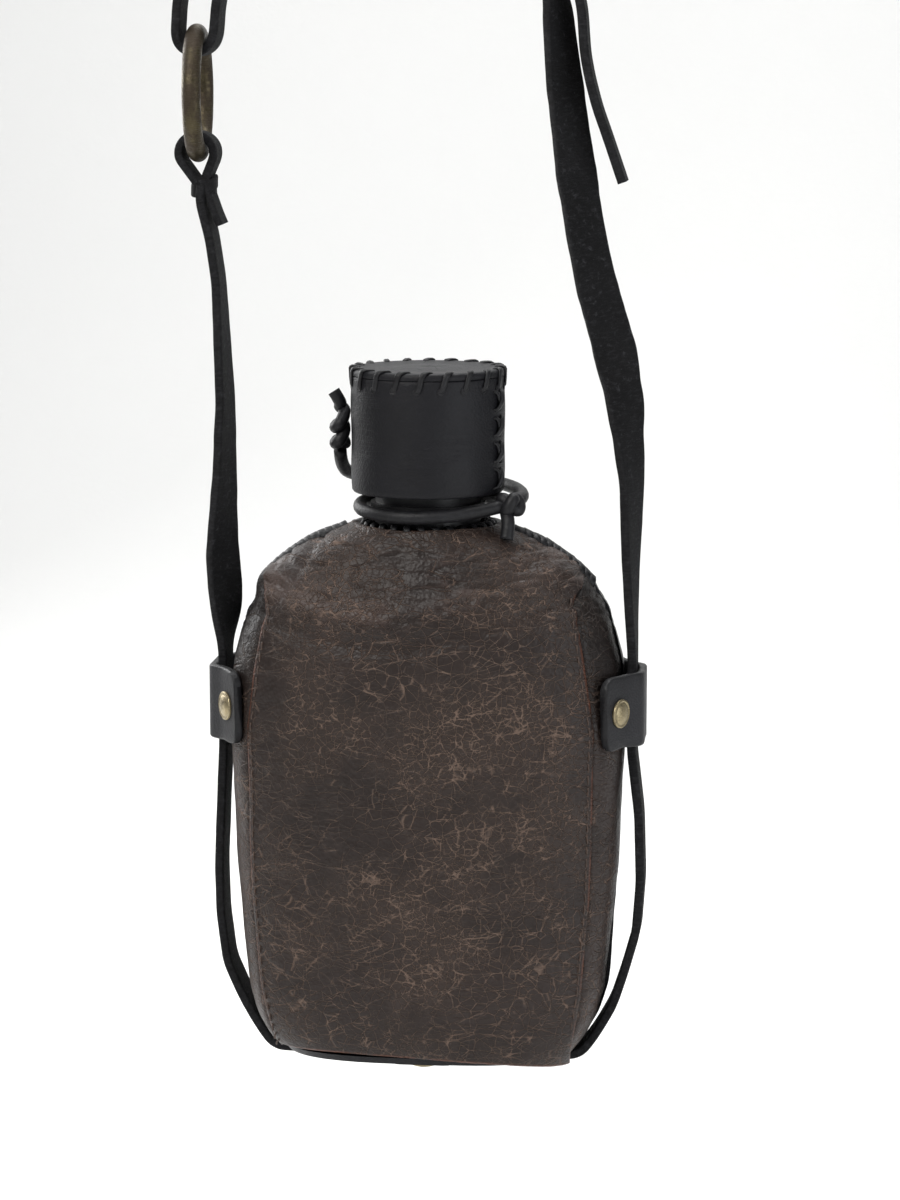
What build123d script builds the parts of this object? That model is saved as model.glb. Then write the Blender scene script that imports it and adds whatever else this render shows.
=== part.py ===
from build123d import *
import math
import os

# Leather-covered canteen hanging from its shoulder strap. Millimetres, +Z up, front towards -Y.
# Heights below are measured from the underside of the cover; the finished pieces are moved so
# that the origin is where the strap hangs, under the middle of its arch.

# ---- Driving dimensions ----
body_width = 134.0          # across the side gussets, at their widest
body_depth = 73.0           # front panel to back panel
body_height = 181.4         # underside to the leather edge round the neck
leather = 2.4               # cover leather
cover_gap = 0.2             # between cover and bottle
bottle_wall = 1.6

neck_radius = 17.8
neck_wall = 2.6
neck_gap = 2.6              # from the neck to the edge of the cover round it
neck_rise = 45.4            # neck rim above the cover
flange_reach = 1.6          # of the flange, out from the neck
flange_height = 2.2
flange_rise = 5.4           # flange underside above the cover

thread_lead = 5.0
thread_turns = 2.0
thread_depth = 1.5
thread_root = 1.9           # width of the ridge where it leaves the wall
thread_crest = 1.1
thread_rise = 24.0          # start of the neck's ridge above the cover

cap_rise = 11.8             # lower edge of the cap above the cover
cap_gap = 2.4               # from the neck to the inside of the cap, with the two threads between
cap_wall = 3.2
cap_roof = 3.0
gasket_thickness = 2.0
gasket_gap = 0.05
cap_leather = 2.5
cap_overhang = 0.7          # how far the cap's leather reaches below its plastic skirt

lace_width = 2.2
lace_thickness = 1.15
cap_stitches = 20
cap_stitch_drop = 5.6       # from the cap's top down to its lace holes
seam_crossings = 7
seam_angle = -18.0          # of the cap's laced seam, from +X towards the front
ridge_stitches = 9

strap_width = 15.0
strap_thickness = 3.0
strap_gap = 0.3             # between the strap and what it runs along
strap_stand = 1.0           # further room between the strap and the sides

keeper_height = 25.0
keeper_thickness = 2.7
keeper_centre = 120.5       # above the underside
keeper_reach = 24.0         # from the middle of the side to the keeper's end
rivet_head_radius = 4.9
rivet_head_height = 1.7
rivet_post_radius = 1.5
rivet_from_middle = 17.0    # of the side rivets, towards front and back
bottom_keeper_width = 24.0
bottom_keeper_half = 21.0
bottom_rivet_from_middle = 14.5

ring_outer_diameter = 46.0
ring_rod_radius = 3.2
ring_reach = 7.6            # from the strap down the left side out to the ring
ring_centre = 325.4         # above the underside
ring_clearance = 0.48       # between the ring's rod and the strap's edges where it goes round

cord_radius = 2.25
tilt_height = 136.0         # axis on which the canteen swings in its strap
tilt_gap = 2.6              # strap ends each side of that axis
riser_top = 345.2           # where the strap's arch begins
riser_top_x = 43.9
tail_top_x = 52.0
arch_layer_rise = 60.9      # height of the doubled outer layer over the arch's foot
tie_width = 12.0

# Shape of the cover: share of height, of half width, of half depth, and how square it is.
PROFILE = [
    (0.000, 0.754, 0.86, 3.0),
    (0.028, 0.822, 0.93, 3.0),
    (0.070, 0.885, 0.97, 3.0),
    (0.130, 0.930, 0.99, 3.0),
    (0.350, 0.975, 1.00, 2.9),
    (0.580, 1.000, 1.00, 2.9),
    (0.745, 0.985, 0.99, 2.9),
    (0.840, 0.920, 0.95, 2.8),
    (0.895, 0.845, 0.88, 2.6),
    (0.930, 0.745, 0.81, 2.4),
    (0.955, 0.650, 0.76, 2.3),
    (0.976, 0.560, 0.71, 2.2),
    (0.990, 0.450, 0.66, 2.1),
]
CREASE = 0.840              # share of height where the front turns over into the shoulder
# Half width of the front panel, by height.
SEAM = [(-5.0, 50.0), (0.0, 50.0), (25.0, 54.5), (57.0, 57.3), (115.0, 58.5), (163.0, 51.6)]
GUSSET_TOP = 0.905          # share of height where the gussets end

half_width = body_width / 2
half_depth = body_depth / 2
width_scale = body_width / 134.0
height_scale = body_height / 181.4
mouth_radius = neck_radius - neck_wall
neck_hole_radius = neck_radius + neck_gap
flange_radius = neck_radius + flange_reach
cap_inner_radius = neck_radius + cap_gap
cap_outer_radius = cap_inner_radius + cap_wall
cap_leather_radius = cap_outer_radius + cap_leather
neck_top = body_height + neck_rise
cap_bottom = body_height + cap_rise
cap_roof_bottom = neck_top + gasket_gap + gasket_thickness
cap_top = cap_roof_bottom + cap_roof
keeper_z = keeper_centre * height_scale
tilt_z = tilt_height * height_scale
strap_x = half_width + strap_gap + strap_stand + strap_thickness / 2
sling_z = -strap_gap - strap_thickness / 2
ring_x = -(strap_x + ring_reach)
ring_major = ring_outer_diameter / 2 - ring_rod_radius
ring_top_rod = ring_centre + ring_major
ring_bottom_rod = ring_centre - ring_major
# Middle of the strap where it goes round the ring's rod: a wide strap needs room for the rod's own bend.
turn_radius = ring_rod_radius + ring_clearance + strap_thickness / 2 + strap_width ** 2 / (8 * ring_major)
arch_x = (riser_top_x + ring_x + turn_radius) / 2
arch_radius = riser_top_x - arch_x
hang = Pos(-arch_x, 0, -(riser_top + arch_radius - strap_thickness / 2))


def save(name, *shapes):
    """Write one named piece, moved so that the hang point is the origin."""
    solids = [hang * solid for shape in shapes for solid in shape.solids()]
    export_step(solids[0] if len(solids) == 1 else Compound(solids), f"parts/{name}.step")


def between(table, z):
    """Straight-line value at z in a table of (z, value)."""
    if z <= table[0][0]:
        return table[0][1]
    for (z0, v0), (z1, v1) in zip(table, table[1:]):
        if z <= z1:
            return v0 + (v1 - v0) * (z - z0) / (z1 - z0)
    return table[-1][1]


def outline(a, b, power, z, count=32):
    """Flat-sided oval, half width a and half depth b, as a face at height z."""
    points = []
    for i in range(count):
        t = 2 * math.pi * (i + 0.5) / count
        c, s = math.cos(t), math.sin(t)
        points.append((a * math.copysign(abs(c) ** (2 / power), c),
                       b * math.copysign(abs(s) ** (2 / power), s), z))
    return make_face(Spline(points, periodic=True))


def body_form(inset, floor=0.0):
    """Solid of the cover's shape, drawn in by inset, from floor to the neck."""
    faces = []
    for share, wide, deep, power in PROFILE:
        fall = max(0.0, (share - CREASE) / (1 - CREASE)) * inset
        z = share * body_height - fall
        faces.append(outline(half_width * wide - inset, half_depth * deep - inset, power,
                             max(z, floor) if share == 0 else z))
    top = max(neck_hole_radius + leather + 0.4 - inset, 4.0)
    faces.append(outline(top, top, 2.0, body_height - inset))
    return loft(faces, ruled=True)


def cylinder(radius, z0, z1, x=0.0, y=0.0):
    return Pos(x, y, (z0 + z1) / 2) * Cylinder(radius, z1 - z0)


def tube(points, radii, radius):
    """Round cord along straight runs joined by tangent arcs."""
    path = FilletPolyline(*points, radius=radii)
    start = Plane(path @ 0, z_dir=path % 0)
    return sweep(start * Circle(radius), path=path), path.length


def turn_radii(points):
    """Largest even arc at each point: 0.45 of its shorter run over the tangent of half the turn."""
    radii = []
    for a, b, c in zip(points, points[1:], points[2:]):
        one, two = Vector(*b) - Vector(*a), Vector(*c) - Vector(*b)
        half = math.radians(one.get_angle(two)) / 2
        radii.append(0.45 * min(one.length, two.length) / math.tan(half))
    return radii


def ribbon_sections(stations, width=strap_width, thick=strap_thickness):
    """Cross sections of a strap through stations (x, z, turn); turn is its width's angle from +X."""
    sections = []
    for i, (x, z, turn) in enumerate(stations):
        x0, z0 = stations[max(i - 1, 0)][:2]
        x1, z1 = stations[min(i + 1, len(stations) - 1)][:2]
        along = Vector(x1 - x0, 0, z1 - z0).normalized()
        lean = Vector(math.cos(math.radians(turn)), math.sin(math.radians(turn)), 0)
        across = (lean - along * lean.dot(along)).normalized()
        plane = Plane(origin=(x, 0, z), x_dir=across, z_dir=along)
        sections.append((plane * Rectangle(width, thick)).face())
    return sections


def band(points, thick, width):
    """Flat band through (x, z) points, its width along Y."""
    left, right = [], []
    for i, p in enumerate(points):
        a = points[max(i - 1, 0)]
        b = points[min(i + 1, len(points) - 1)]
        dx, dz = b[0] - a[0], b[1] - a[1]
        size = math.hypot(dx, dz)
        nx, nz = -dz / size * thick / 2, dx / size * thick / 2
        left.append((p[0] + nx, p[1] + nz))
        right.append((p[0] - nx, p[1] - nz))
    face = make_face(Plane.XZ * Polyline(*left, *reversed(right), close=True))
    return extrude(face, width / 2, both=True)


def arc_points(cx, cz, radius, start, end, steps):
    """Points (x, z) round an arc, angles in degrees."""
    return [(cx + radius * math.cos(math.radians(start + (end - start) * i / steps)),
             cz + radius * math.sin(math.radians(start + (end - start) * i / steps)))
            for i in range(steps + 1)]


# ---- Bottle: one blown shell with a threaded neck ----
def helical_ridge(wall_radius, outward, start_z):
    """Thread ridge on a wall; outward is 1 on the neck and -1 inside the cap."""
    helix = Helix(pitch=thread_lead, height=thread_lead * thread_turns, radius=wall_radius)
    sink = -0.4 * outward
    reach = thread_depth * outward
    section = Plane(origin=helix @ 0, x_dir=(1, 0, 0), z_dir=helix % 0)
    shape = section * make_face(Polyline(
        (sink, -thread_root / 2), (reach, -thread_crest / 2),
        (reach, thread_crest / 2), (sink, thread_root / 2), close=True))
    return Pos(0, 0, start_z) * sweep(shape, path=helix, is_frenet=True)


def make_bottle():
    skin = leather + cover_gap
    outer = body_form(skin, floor=skin)
    shoulder = body_height - skin
    outer += cylinder(neck_radius, shoulder - 8.0, neck_top)
    outer += cylinder(flange_radius, body_height + flange_rise, body_height + flange_rise + flange_height)
    cavity = body_form(skin + bottle_wall, floor=skin + bottle_wall)
    cavity += cylinder(mouth_radius, shoulder - 14.0, neck_top + 1.0)
    bottle = outer - cavity
    return bottle + helical_ridge(neck_radius, 1, body_height + thread_rise)


# ---- Cover: front panel, a gusset at each side of it, the back round to the middle of the sides, base ----
def seam_block(side):
    """Everything outside the panel seam on one side, as high as the gusset."""
    top = GUSSET_TOP * body_height
    points = [(side * w * width_scale, z * height_scale) for z, w in SEAM if z * height_scale < top]
    points.append((side * between(SEAM, 163.0) * width_scale, top))
    points += [(side * body_width, top), (side * body_width, points[0][1])]
    face = make_face(Plane.XZ * Polyline(*points, close=True))
    return extrude(face, body_depth, both=True)


def make_cover():
    outer = body_form(0.0)
    walls = outer - body_form(leather, floor=-0.01) - cylinder(neck_hole_radius, body_height - 12, body_height + 5)
    base = body_form(leather, floor=-0.01) & Pos(0, 0, leather / 2) * Box(
        2 * body_width, 2 * body_depth, leather)
    tall = 3 * body_height
    back = walls & Pos(0, body_depth, 0) * Box(3 * body_width, 2 * body_depth, tall)
    fore = walls & Pos(0, -body_depth, 0) * Box(3 * body_width, 2 * body_depth, tall)
    left = fore & seam_block(-1)
    right = fore & seam_block(1)
    front = fore - seam_block(-1) - seam_block(1)
    return {"front_panel": front, "back_panel": back, "left_gusset": left, "right_gusset": right,
            "base_panel": base}


# ---- Keepers: riveted leather loops that hold the strap against the sides and the base ----
def offset_band(points, thick):
    """Closed outline of a band of even thickness about a polyline of (u, v) points."""
    line = Polyline(*points)
    return make_face(offset(line, amount=thick / 2, side=Side.BOTH, kind=Kind.ARC))


def keeper_lap(side):
    """Inner face of a side keeper's lap on the gusset: its end, its bend and its outward direction."""
    end = Vector(side * half_width * 0.90, -keeper_reach, 0)
    bend = Vector(side * (half_width - 0.2), -strap_width / 2 - 5.4, 0)
    run = (bend - end).normalized()
    return end, bend, Vector(side * -run.Y, side * run.X, 0) * -1


def make_side_keeper(side, solid_body):
    end, bend, outward = keeper_lap(side)
    over = side * (strap_x + strap_thickness / 2 + strap_gap + keeper_thickness / 2)
    front = [end + outward * (keeper_thickness / 2), bend + outward * (keeper_thickness / 2),
             Vector(over, -strap_width / 2 - 1.2, 0)]
    points = [(p.X, p.Y) for p in front] + [(p.X, -p.Y) for p in reversed(front)]
    face = offset_band(points, keeper_thickness)
    loop = extrude(Pos(0, 0, keeper_z - keeper_height / 2) * face, keeper_height)
    return loop - solid_body


def side_rivets(side):
    """The two rivets of one side keeper, front and back."""
    end, bend, outward = keeper_lap(side)
    place = end + (bend - end) * ((end.Y + rivet_from_middle) / (end.Y - bend.Y))
    pair = []
    for way in (1, -1):
        spot = Vector(place.X, way * place.Y, keeper_z)
        pair.append(rivet(spot, Vector(outward.X, way * outward.Y, 0), keeper_thickness, leather * 0.8))
    return pair


def make_base_keeper():
    low = -2 * strap_gap - strap_thickness - keeper_thickness / 2
    half = strap_width / 2 + 1.2
    points = [(-bottom_keeper_half, -keeper_thickness / 2), (-half - 2.6, -keeper_thickness / 2),
              (-half, low), (half, low), (half + 2.6, -keeper_thickness / 2),
              (bottom_keeper_half, -keeper_thickness / 2)]
    face = Plane.YZ * offset_band(points, keeper_thickness)
    loop = extrude(face, bottom_keeper_width / 2, both=True)
    return loop - Pos(0, 0, 50) * Box(200, 200, 100)


def base_rivets():
    return [rivet(Vector(0, y, 0), Vector(0, 0, -1), keeper_thickness, leather * 0.8)
            for y in (-bottom_rivet_from_middle, bottom_rivet_from_middle)]


def rivet(place, direction, grip, under):
    """Domed cap outside the grip and a post through what it holds."""
    plane = Plane(origin=place, z_dir=direction)
    base = plane.offset(grip)
    dome = revolve(base * (Plane.XZ * make_face(Polyline(
        (0, 0), (rivet_head_radius, 0), (rivet_head_radius, 0.45),
        (rivet_head_radius * 0.82, rivet_head_height * 0.72),
        (rivet_head_radius * 0.5, rivet_head_height * 0.94), (0, rivet_head_height), close=True))),
        axis=Axis(base.origin, base.z_dir))
    post = extrude(plane.offset(-under) * Circle(rivet_post_radius), under + grip + 0.1)
    return dome + post


def ridge_point(x):
    """Height of the shoulder's ridge at distance x from the middle."""
    table = [(p[1] * half_width, p[0] * body_height) for p in reversed(PROFILE) if p[0] >= CREASE]
    table.insert(0, (neck_hole_radius + leather + 0.4, body_height))
    return between(table, x)


def make_ridge_lacing(side):
    """Row of short lace stitches over the ridge where the two panels meet."""
    inner, outer = neck_hole_radius + leather + 4.2, half_width * 0.83
    stitches = []
    for i in range(ridge_stitches):
        x = inner + (outer - inner) * i / (ridge_stitches - 1)
        z = ridge_point(x)
        slope = math.degrees(math.atan2(ridge_point(x + 1.0) - ridge_point(x - 1.0), 2.0))
        stitch = Box(lace_width * 1.2, 6.4, lace_thickness * 1.4)
        lift = lace_thickness * 0.7 + 0.9
        place = Pos(side * (x - lift * math.sin(math.radians(slope))), 0,
                    z + lift * math.cos(math.radians(slope)))
        stitches.append(place * Rot(0, -side * slope, 0) * stitch)
    return stitches


def make_neck_lacing():
    """Lace that whips the leather's edge round the neck, as one round cord."""
    return Pos(0, 0, body_height + 1.1) * Torus(neck_hole_radius + leather * 0.75, 1.0)


# ---- Strap: one long strip, from the tie on the ring down, under, up, over and back ----
def sling_points(side, bulge):
    """Middle of the strap from the tilt axis down one side and round the base's corner."""
    corner = half_width * PROFILE[0][1]
    points = [(strap_x, tilt_z - tilt_gap), (strap_x, keeper_z), (strap_x, keeper_z - 15.0)]
    points += [(strap_x + d, z * height_scale) for d, z in bulge]
    points += [(corner + d, z * height_scale) for d, z in CORNER_WRAP]
    points += [(corner + 2.4, sling_z + 0.5), (corner - 2.2, sling_z)]
    return [(side * x, z) for x, z in points]


LEFT_BULGE = [(1.0, 85.0), (2.0, 62.0), (1.6, 45.0), (-0.5, 28.0)]
RIGHT_BULGE = [(2.7, 83.0), (3.4, 60.0), (2.1, 42.0), (-1.8, 28.0)]
CORNER_WRAP = [(13.8, 16.5), (9.1, 8.0), (6.0, 3.2)]


def make_slings():
    left = sling_points(-1, LEFT_BULGE)
    right = sling_points(1, RIGHT_BULGE)
    base = [left[-1], (0.0, sling_z), right[-1]]
    sling = band(left + [base[1]] + right[::-1], strap_thickness, strap_width)
    edge = abs(left[-1][0])
    middle = Box(2 * edge, 4 * strap_width, 40.0)
    rest = sling - middle
    return {"strap_under_base": sling & middle,
            "strap_sling_left": rest & Pos(-body_width, 0, 0) * Box(2 * body_width, 99, 999),
            "strap_sling_right": rest & Pos(body_width, 0, 0) * Box(2 * body_width, 99, 999)}


# Share of the way up, share of the way over to the top, and turn of the width from +X.
RIGHT_RISER = [(0.00, 0.00, 90), (0.06, 0.02, 86), (0.15, 0.035, 78), (0.28, 0.03, 68), (0.41, 0.127, 42),
               (0.50, 0.278, 16), (0.60, 0.513, 32), (0.68, 0.649, 37), (0.77, 0.768, 33),
               (0.87, 0.880, 42), (0.94, 0.950, 49), (1.00, 1.000, 55)]
LEFT_RISER = [(0.00, 0.00, 90), (0.04, 0.03, 76), (0.09, 0.06, 58), (0.15, -0.02, 53), (0.21, -0.12, 57),
              (0.29, -0.07, 66), (0.38, 0.03, 74), (0.55, 0.12, 82), (0.68, -0.02, 86), (0.82, -0.16, 90),
              (0.92, -0.50, 90), (1.00, -1.00, 90)]
TIE_Z = 290.2


def main_strap_stations():
    """Stations of the strap from the right side up, over, through the ring and back over to its tail."""
    foot = tilt_z + tilt_gap
    rise = [(strap_x + (riser_top_x - strap_x) * over, foot + (riser_top - foot) * up, turn)
            for up, over, turn in RIGHT_RISER]
    arch = []
    for i, (x, z) in enumerate(arc_points(arch_x, riser_top, arch_radius, 0, 180, 18)[1:]):
        arch.append((x, z, min(90, 55 + 9 * (i + 1))))
    turn = [(x, z, 90) for x, z in arc_points(ring_x, ring_top_rod, turn_radius, 0, -180, 10)[1:]]
    over_x = (ring_x - turn_radius + tail_top_x) / 2
    over_radius = tail_top_x - over_x
    over = [(over_x + over_radius * math.cos(math.radians(a)),
             riser_top + arch_layer_rise * math.sin(math.radians(a)), 90)
            for a in range(170, -1, -10)]
    tail = [(tail_top_x + d, riser_top - fall, 90)
            for d, fall in ((0.6, 7.0), (2.2, 15.0), (4.6, 24.0), (8.2, 34.0), (13.6, 49.6))]
    marks = [0, len(rise) - 1]
    marks += [marks[1] + 6, marks[1] + 12, marks[1] + 18]
    marks.append(marks[-1] + len(turn))
    marks += [marks[-1] + 6, marks[-1] + 12, marks[-1] + 18]
    marks.append(marks[-1] + len(tail))
    return rise + arch + turn + over + tail, marks


MAIN_STRAP_NODES = ["strap_right_riser", "strap_arch_right", "strap_arch_top", "strap_arch_left",
                    "strap_ring_turn", "strap_over_left", "strap_over_top", "strap_over_right",
                    "strap_tail"]


def make_main_strap():
    stations, marks = main_strap_stations()
    sections = ribbon_sections(stations)
    return {name: loft(sections[a:b + 1], ruled=True)
            for name, a, b in zip(MAIN_STRAP_NODES, marks, marks[1:])}


def make_left_strap():
    """Left riser, its wrap round the ring's rod, the knot and the knot's short end."""
    foot = tilt_z + tilt_gap
    tie_x = ring_x + 1.2
    stations = []
    for up, over, turn in LEFT_RISER:
        reach = abs(tie_x) - strap_x if over < 0 and up > 0.7 else 6.4
        stations.append((-strap_x + reach * over, foot + (TIE_Z - foot) * up, turn))
    riser = loft(ribbon_sections(stations), ruled=True)
    wrap = [(ring_x - 3.4, TIE_Z + 8.0), (ring_x - 5.8, ring_bottom_rod - 4.1)]
    wrap += arc_points(ring_x, ring_bottom_rod, turn_radius, 180, 0, 10)
    wrap += [(ring_x + 5.8, ring_bottom_rod - 4.1), (ring_x + 4.2, TIE_Z + 8.0)]
    loop = band(wrap, strap_thickness, tie_width)
    end = Pos(0, -2.0, 0) * band([(ring_x + 5.4, TIE_Z + 5.0), (ring_x + 6.9, TIE_Z + 0.5),
                                  (ring_x + 7.6, TIE_Z - 4.0), (ring_x + 8.6, TIE_Z - 8.6)], 2.6, 9.0)
    knot = Pos(tie_x - 0.4, 0, TIE_Z + 4.2) * fillet(Box(11.4, 13.4, 8.4).edges(), 2.4)
    return {"strap_left_riser": riser, "strap_ring_tie": loop, "strap_tie_end": end,
            "strap_tie_knot": knot - riser - loop - end}


# ---- Cap: threaded plastic cap, its gasket and its laced leather cover ----
def make_cap():
    shell = cylinder(cap_outer_radius, cap_bottom, cap_top)
    shell -= cylinder(cap_inner_radius, cap_bottom - 1, cap_roof_bottom)
    return shell + helical_ridge(cap_inner_radius, -1, body_height + thread_rise + thread_lead / 2)


def make_cap_top_lacing():
    face = leather_top + 0.05
    side = cap_leather_radius + 0.05
    profile = make_face(Plane.XZ * Polyline(
        (side - 3.4, face), (side, face), (side, leather_top - cap_stitch_drop),
        (side + lace_thickness, leather_top - cap_stitch_drop), (side + lace_thickness, face + lace_thickness),
        (side - 3.4, face + lace_thickness), close=True))
    stitch = extrude(profile, lace_width / 2, both=True)
    return [Rot(0, 0, 360 * (i + 0.5) / cap_stitches) * stitch for i in range(cap_stitches)]


def make_cap_side_lacing():
    crossings = []
    low, high = cap_bottom + 3.0, leather_top - cap_stitch_drop - 3.2
    for i in range(seam_crossings):
        z = low + (high - low) * i / (seam_crossings - 1)
        tilt = 32 if i % 2 else -32
        stitch = Rot(tilt, 0, 0) * Box(lace_thickness, 6.0, lace_width * 0.8)
        place = Pos(cap_leather_radius + 0.06 + lace_thickness / 2, 0, z)
        crossings.append(Rot(0, 0, seam_angle) * place * stitch)
    return crossings


# ---- Neck cord: a round cord from the cap's knot, behind the cap, and in a noose round the neck ----
TETHER = [(-30.0, 1.0, 24.1), (-30.6, 7.2, 17.3), (-26.6, 16.8, 13.9), (-18.0, 25.6, 12.7),
          (-5.5, 30.6, 12.1), (8.2, 30.2, 11.7), (20.2, 24.2, 11.3), (28.4, 13.6, 10.7),
          (32.3, 1.6, 10.0), (32.2, -9.4, 9.4)]
NOOSE = [(24.4, -15.6, 7.4), (12.6, -21.6, 5.4), (-6.5, -24.1, 4.6), (-21.6, -12.6, 5.3), (-24.1, 6.5, 6.5),
         (-12.5, 21.7, 6.8), (6.6, 24.0, 6.9), (21.6, 12.7, 7.3), (26.7, -0.6, 7.9), (26.6, -9.4, 8.2)]
CORD_END = [(28.6, -15.8, 4.4), (28.9, -17.6, 1.0), (28.4, -18.5, -2.6)]
cord_knot_at = (29.2, -13.5, 8.4)
cord_knot_size = (10.0, 9.0, 8.4)


def cord_run(name, route):
    """One stretch of the neck cord; heights in its route are above the cover."""
    points = [(x, y, body_height + z) for x, y, z in route]
    radii = turn_radii(points)
    solid, length = tube(points, radii, cord_radius)
    print(name, "radii", [round(r, 1) for r in radii], "length", round(length, 1),
          "volume share", round(solid.volume / (math.pi * cord_radius ** 2 * length), 3))
    return solid


# ---- Put together ----
os.makedirs("parts", exist_ok=True)
leather_top = cap_top + cap_leather

cover = make_cover()
bottle = make_bottle()
side_keepers = {side: make_side_keeper(side, body_form(-0.05)) for side in (-1, 1)}
keeper_rivets = {side: side_rivets(side) for side in (-1, 1)}
base_keeper = make_base_keeper()
under_rivets = base_rivets()
for side, name in ((-1, "left"), (1, "right")):
    for one in keeper_rivets[side]:
        side_keepers[side] -= one
        for panel in ("front_panel", "back_panel", f"{name}_gusset"):
            cover[panel] -= one
    save(f"{name}_keeper", side_keepers[side])
    save(f"{name}_keeper_rivets", *keeper_rivets[side])
for one in under_rivets:
    base_keeper -= one
    cover["base_panel"] -= one
save("base_keeper", base_keeper)
save("base_keeper_rivets", *under_rivets)
save("bottle", bottle)
for name, panel in cover.items():
    save(name, panel)
save("neck_lacing", make_neck_lacing())
save("left_ridge_lacing", *make_ridge_lacing(-1))
save("right_ridge_lacing", *make_ridge_lacing(1))
for pieces in (make_slings(), make_main_strap(), make_left_strap()):
    for name, piece in pieces.items():
        save(name, piece)
save("brass_ring", Pos(ring_x, 0, ring_centre) * Rot(0, 90, 0) * Torus(ring_major, ring_rod_radius))

save("screw_cap", make_cap())
save("cap_gasket", cylinder(cap_inner_radius - 0.3, cap_roof_bottom - gasket_thickness, cap_roof_bottom)
     - cylinder(mouth_radius - 1.0, 0, 999))
skirt = cylinder(cap_leather_radius, cap_bottom - cap_overhang, cap_top)
save("cap_side_leather", skirt - cylinder(cap_outer_radius, 0, 999))
save("cap_top_leather", cylinder(cap_leather_radius, cap_top, leather_top))
save("cap_top_lacing", *make_cap_top_lacing())
save("cap_side_lacing", *make_cap_side_lacing())

tether = cord_run("cap_tether", TETHER)
noose = cord_run("neck_cord_loop", NOOSE)
cord_end = cord_run("neck_cord_end", CORD_END)
cap_knot_z = body_height + TETHER[0][2] + 10.6
cap_knot = Pos(-cap_leather_radius - 3.7, 0, cap_knot_z) * fillet(Box(7.2, 9.0, 21.0).edges(), 2.2)
knot_x, knot_y, knot_z = cord_knot_at
cord_knot = Pos(knot_x, knot_y, body_height + knot_z) * fillet(Box(*cord_knot_size).edges(), 2.2)
save("cap_tether", tether)
save("neck_cord_loop", noose)
save("neck_cord_end", cord_end)
save("neck_cord_knot", cord_knot - tether - noose - cord_end)
save("cap_cord_knot", cap_knot - tether)
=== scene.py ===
"""Leather-covered canteen in its strap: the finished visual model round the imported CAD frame."""
import math

import bmesh
import bpy
import numpy as np
from bpy.props import FloatProperty, FloatVectorProperty, IntProperty, PointerProperty
from mathutils import Matrix, Vector, noise


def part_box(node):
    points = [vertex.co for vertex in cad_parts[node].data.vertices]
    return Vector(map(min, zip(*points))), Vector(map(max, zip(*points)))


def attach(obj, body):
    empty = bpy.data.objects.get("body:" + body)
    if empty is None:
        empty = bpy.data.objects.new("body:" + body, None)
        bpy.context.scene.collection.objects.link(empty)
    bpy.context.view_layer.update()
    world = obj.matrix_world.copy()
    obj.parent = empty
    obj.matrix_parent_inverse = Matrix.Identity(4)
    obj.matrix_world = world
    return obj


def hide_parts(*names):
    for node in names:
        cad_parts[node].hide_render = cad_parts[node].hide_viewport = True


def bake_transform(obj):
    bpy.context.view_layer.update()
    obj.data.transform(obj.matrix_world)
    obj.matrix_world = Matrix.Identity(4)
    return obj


bl_info = {
    "name": "Leather Canteen",
    "version": (1, 0, 0),
    "blender": (4, 5, 0),
    "location": "3D View > Sidebar > Canteen",
    "description": "Builds a leather-covered canteen, its laced cap and its strap round a packed frame",
    "category": "Add Mesh",
}

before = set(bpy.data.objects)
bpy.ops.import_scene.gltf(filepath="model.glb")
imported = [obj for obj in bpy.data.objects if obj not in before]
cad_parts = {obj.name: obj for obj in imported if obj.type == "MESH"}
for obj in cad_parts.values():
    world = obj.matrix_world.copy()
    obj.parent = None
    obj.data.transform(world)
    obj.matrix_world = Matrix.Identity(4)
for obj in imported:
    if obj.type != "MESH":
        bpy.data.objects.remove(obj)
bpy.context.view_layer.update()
MM = 0.001

# ---- Places and sizes taken from the frame, in millimetres from the middle of the cover's underside ----
PANEL_LOW, PANEL_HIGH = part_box("front_panel")
ORIGIN = Vector(((PANEL_LOW.x + PANEL_HIGH.x) / 2, 0, PANEL_LOW.z))


def local_box(node):
    """Corners of a CAD node, in millimetres from the middle of the cover's underside."""
    low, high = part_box(node)
    return (low - ORIGIN) / MM, (high - ORIGIN) / MM


def place(points):
    """Points in local millimetres as points of the frame in metres."""
    return np.asarray(points, float) * MM + np.array(ORIGIN)


HEIGHT = (PANEL_HIGH.z - PANEL_LOW.z) / MM
HALF_WIDTH = local_box("right_gusset")[1].x
HALF_DEPTH = -local_box("front_panel")[0].y
NECK_EDGE = 23.2
CAP_LOW, CAP_HIGH = local_box("cap_side_leather")
CAP_RADIUS = (CAP_HIGH.x - CAP_LOW.x) / 2
CAP_TOP = local_box("cap_top_leather")[1].z
KEEPER_LOW, KEEPER_HIGH = local_box("right_keeper")
RING_LOW, RING_HIGH = local_box("brass_ring")
RING_CENTRE = (RING_LOW + RING_HIGH) / 2
RING_ROD = (RING_HIGH.x - RING_LOW.x) / 2
RING_MAJOR = (RING_HIGH.z - RING_LOW.z) / 2 - RING_ROD

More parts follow.
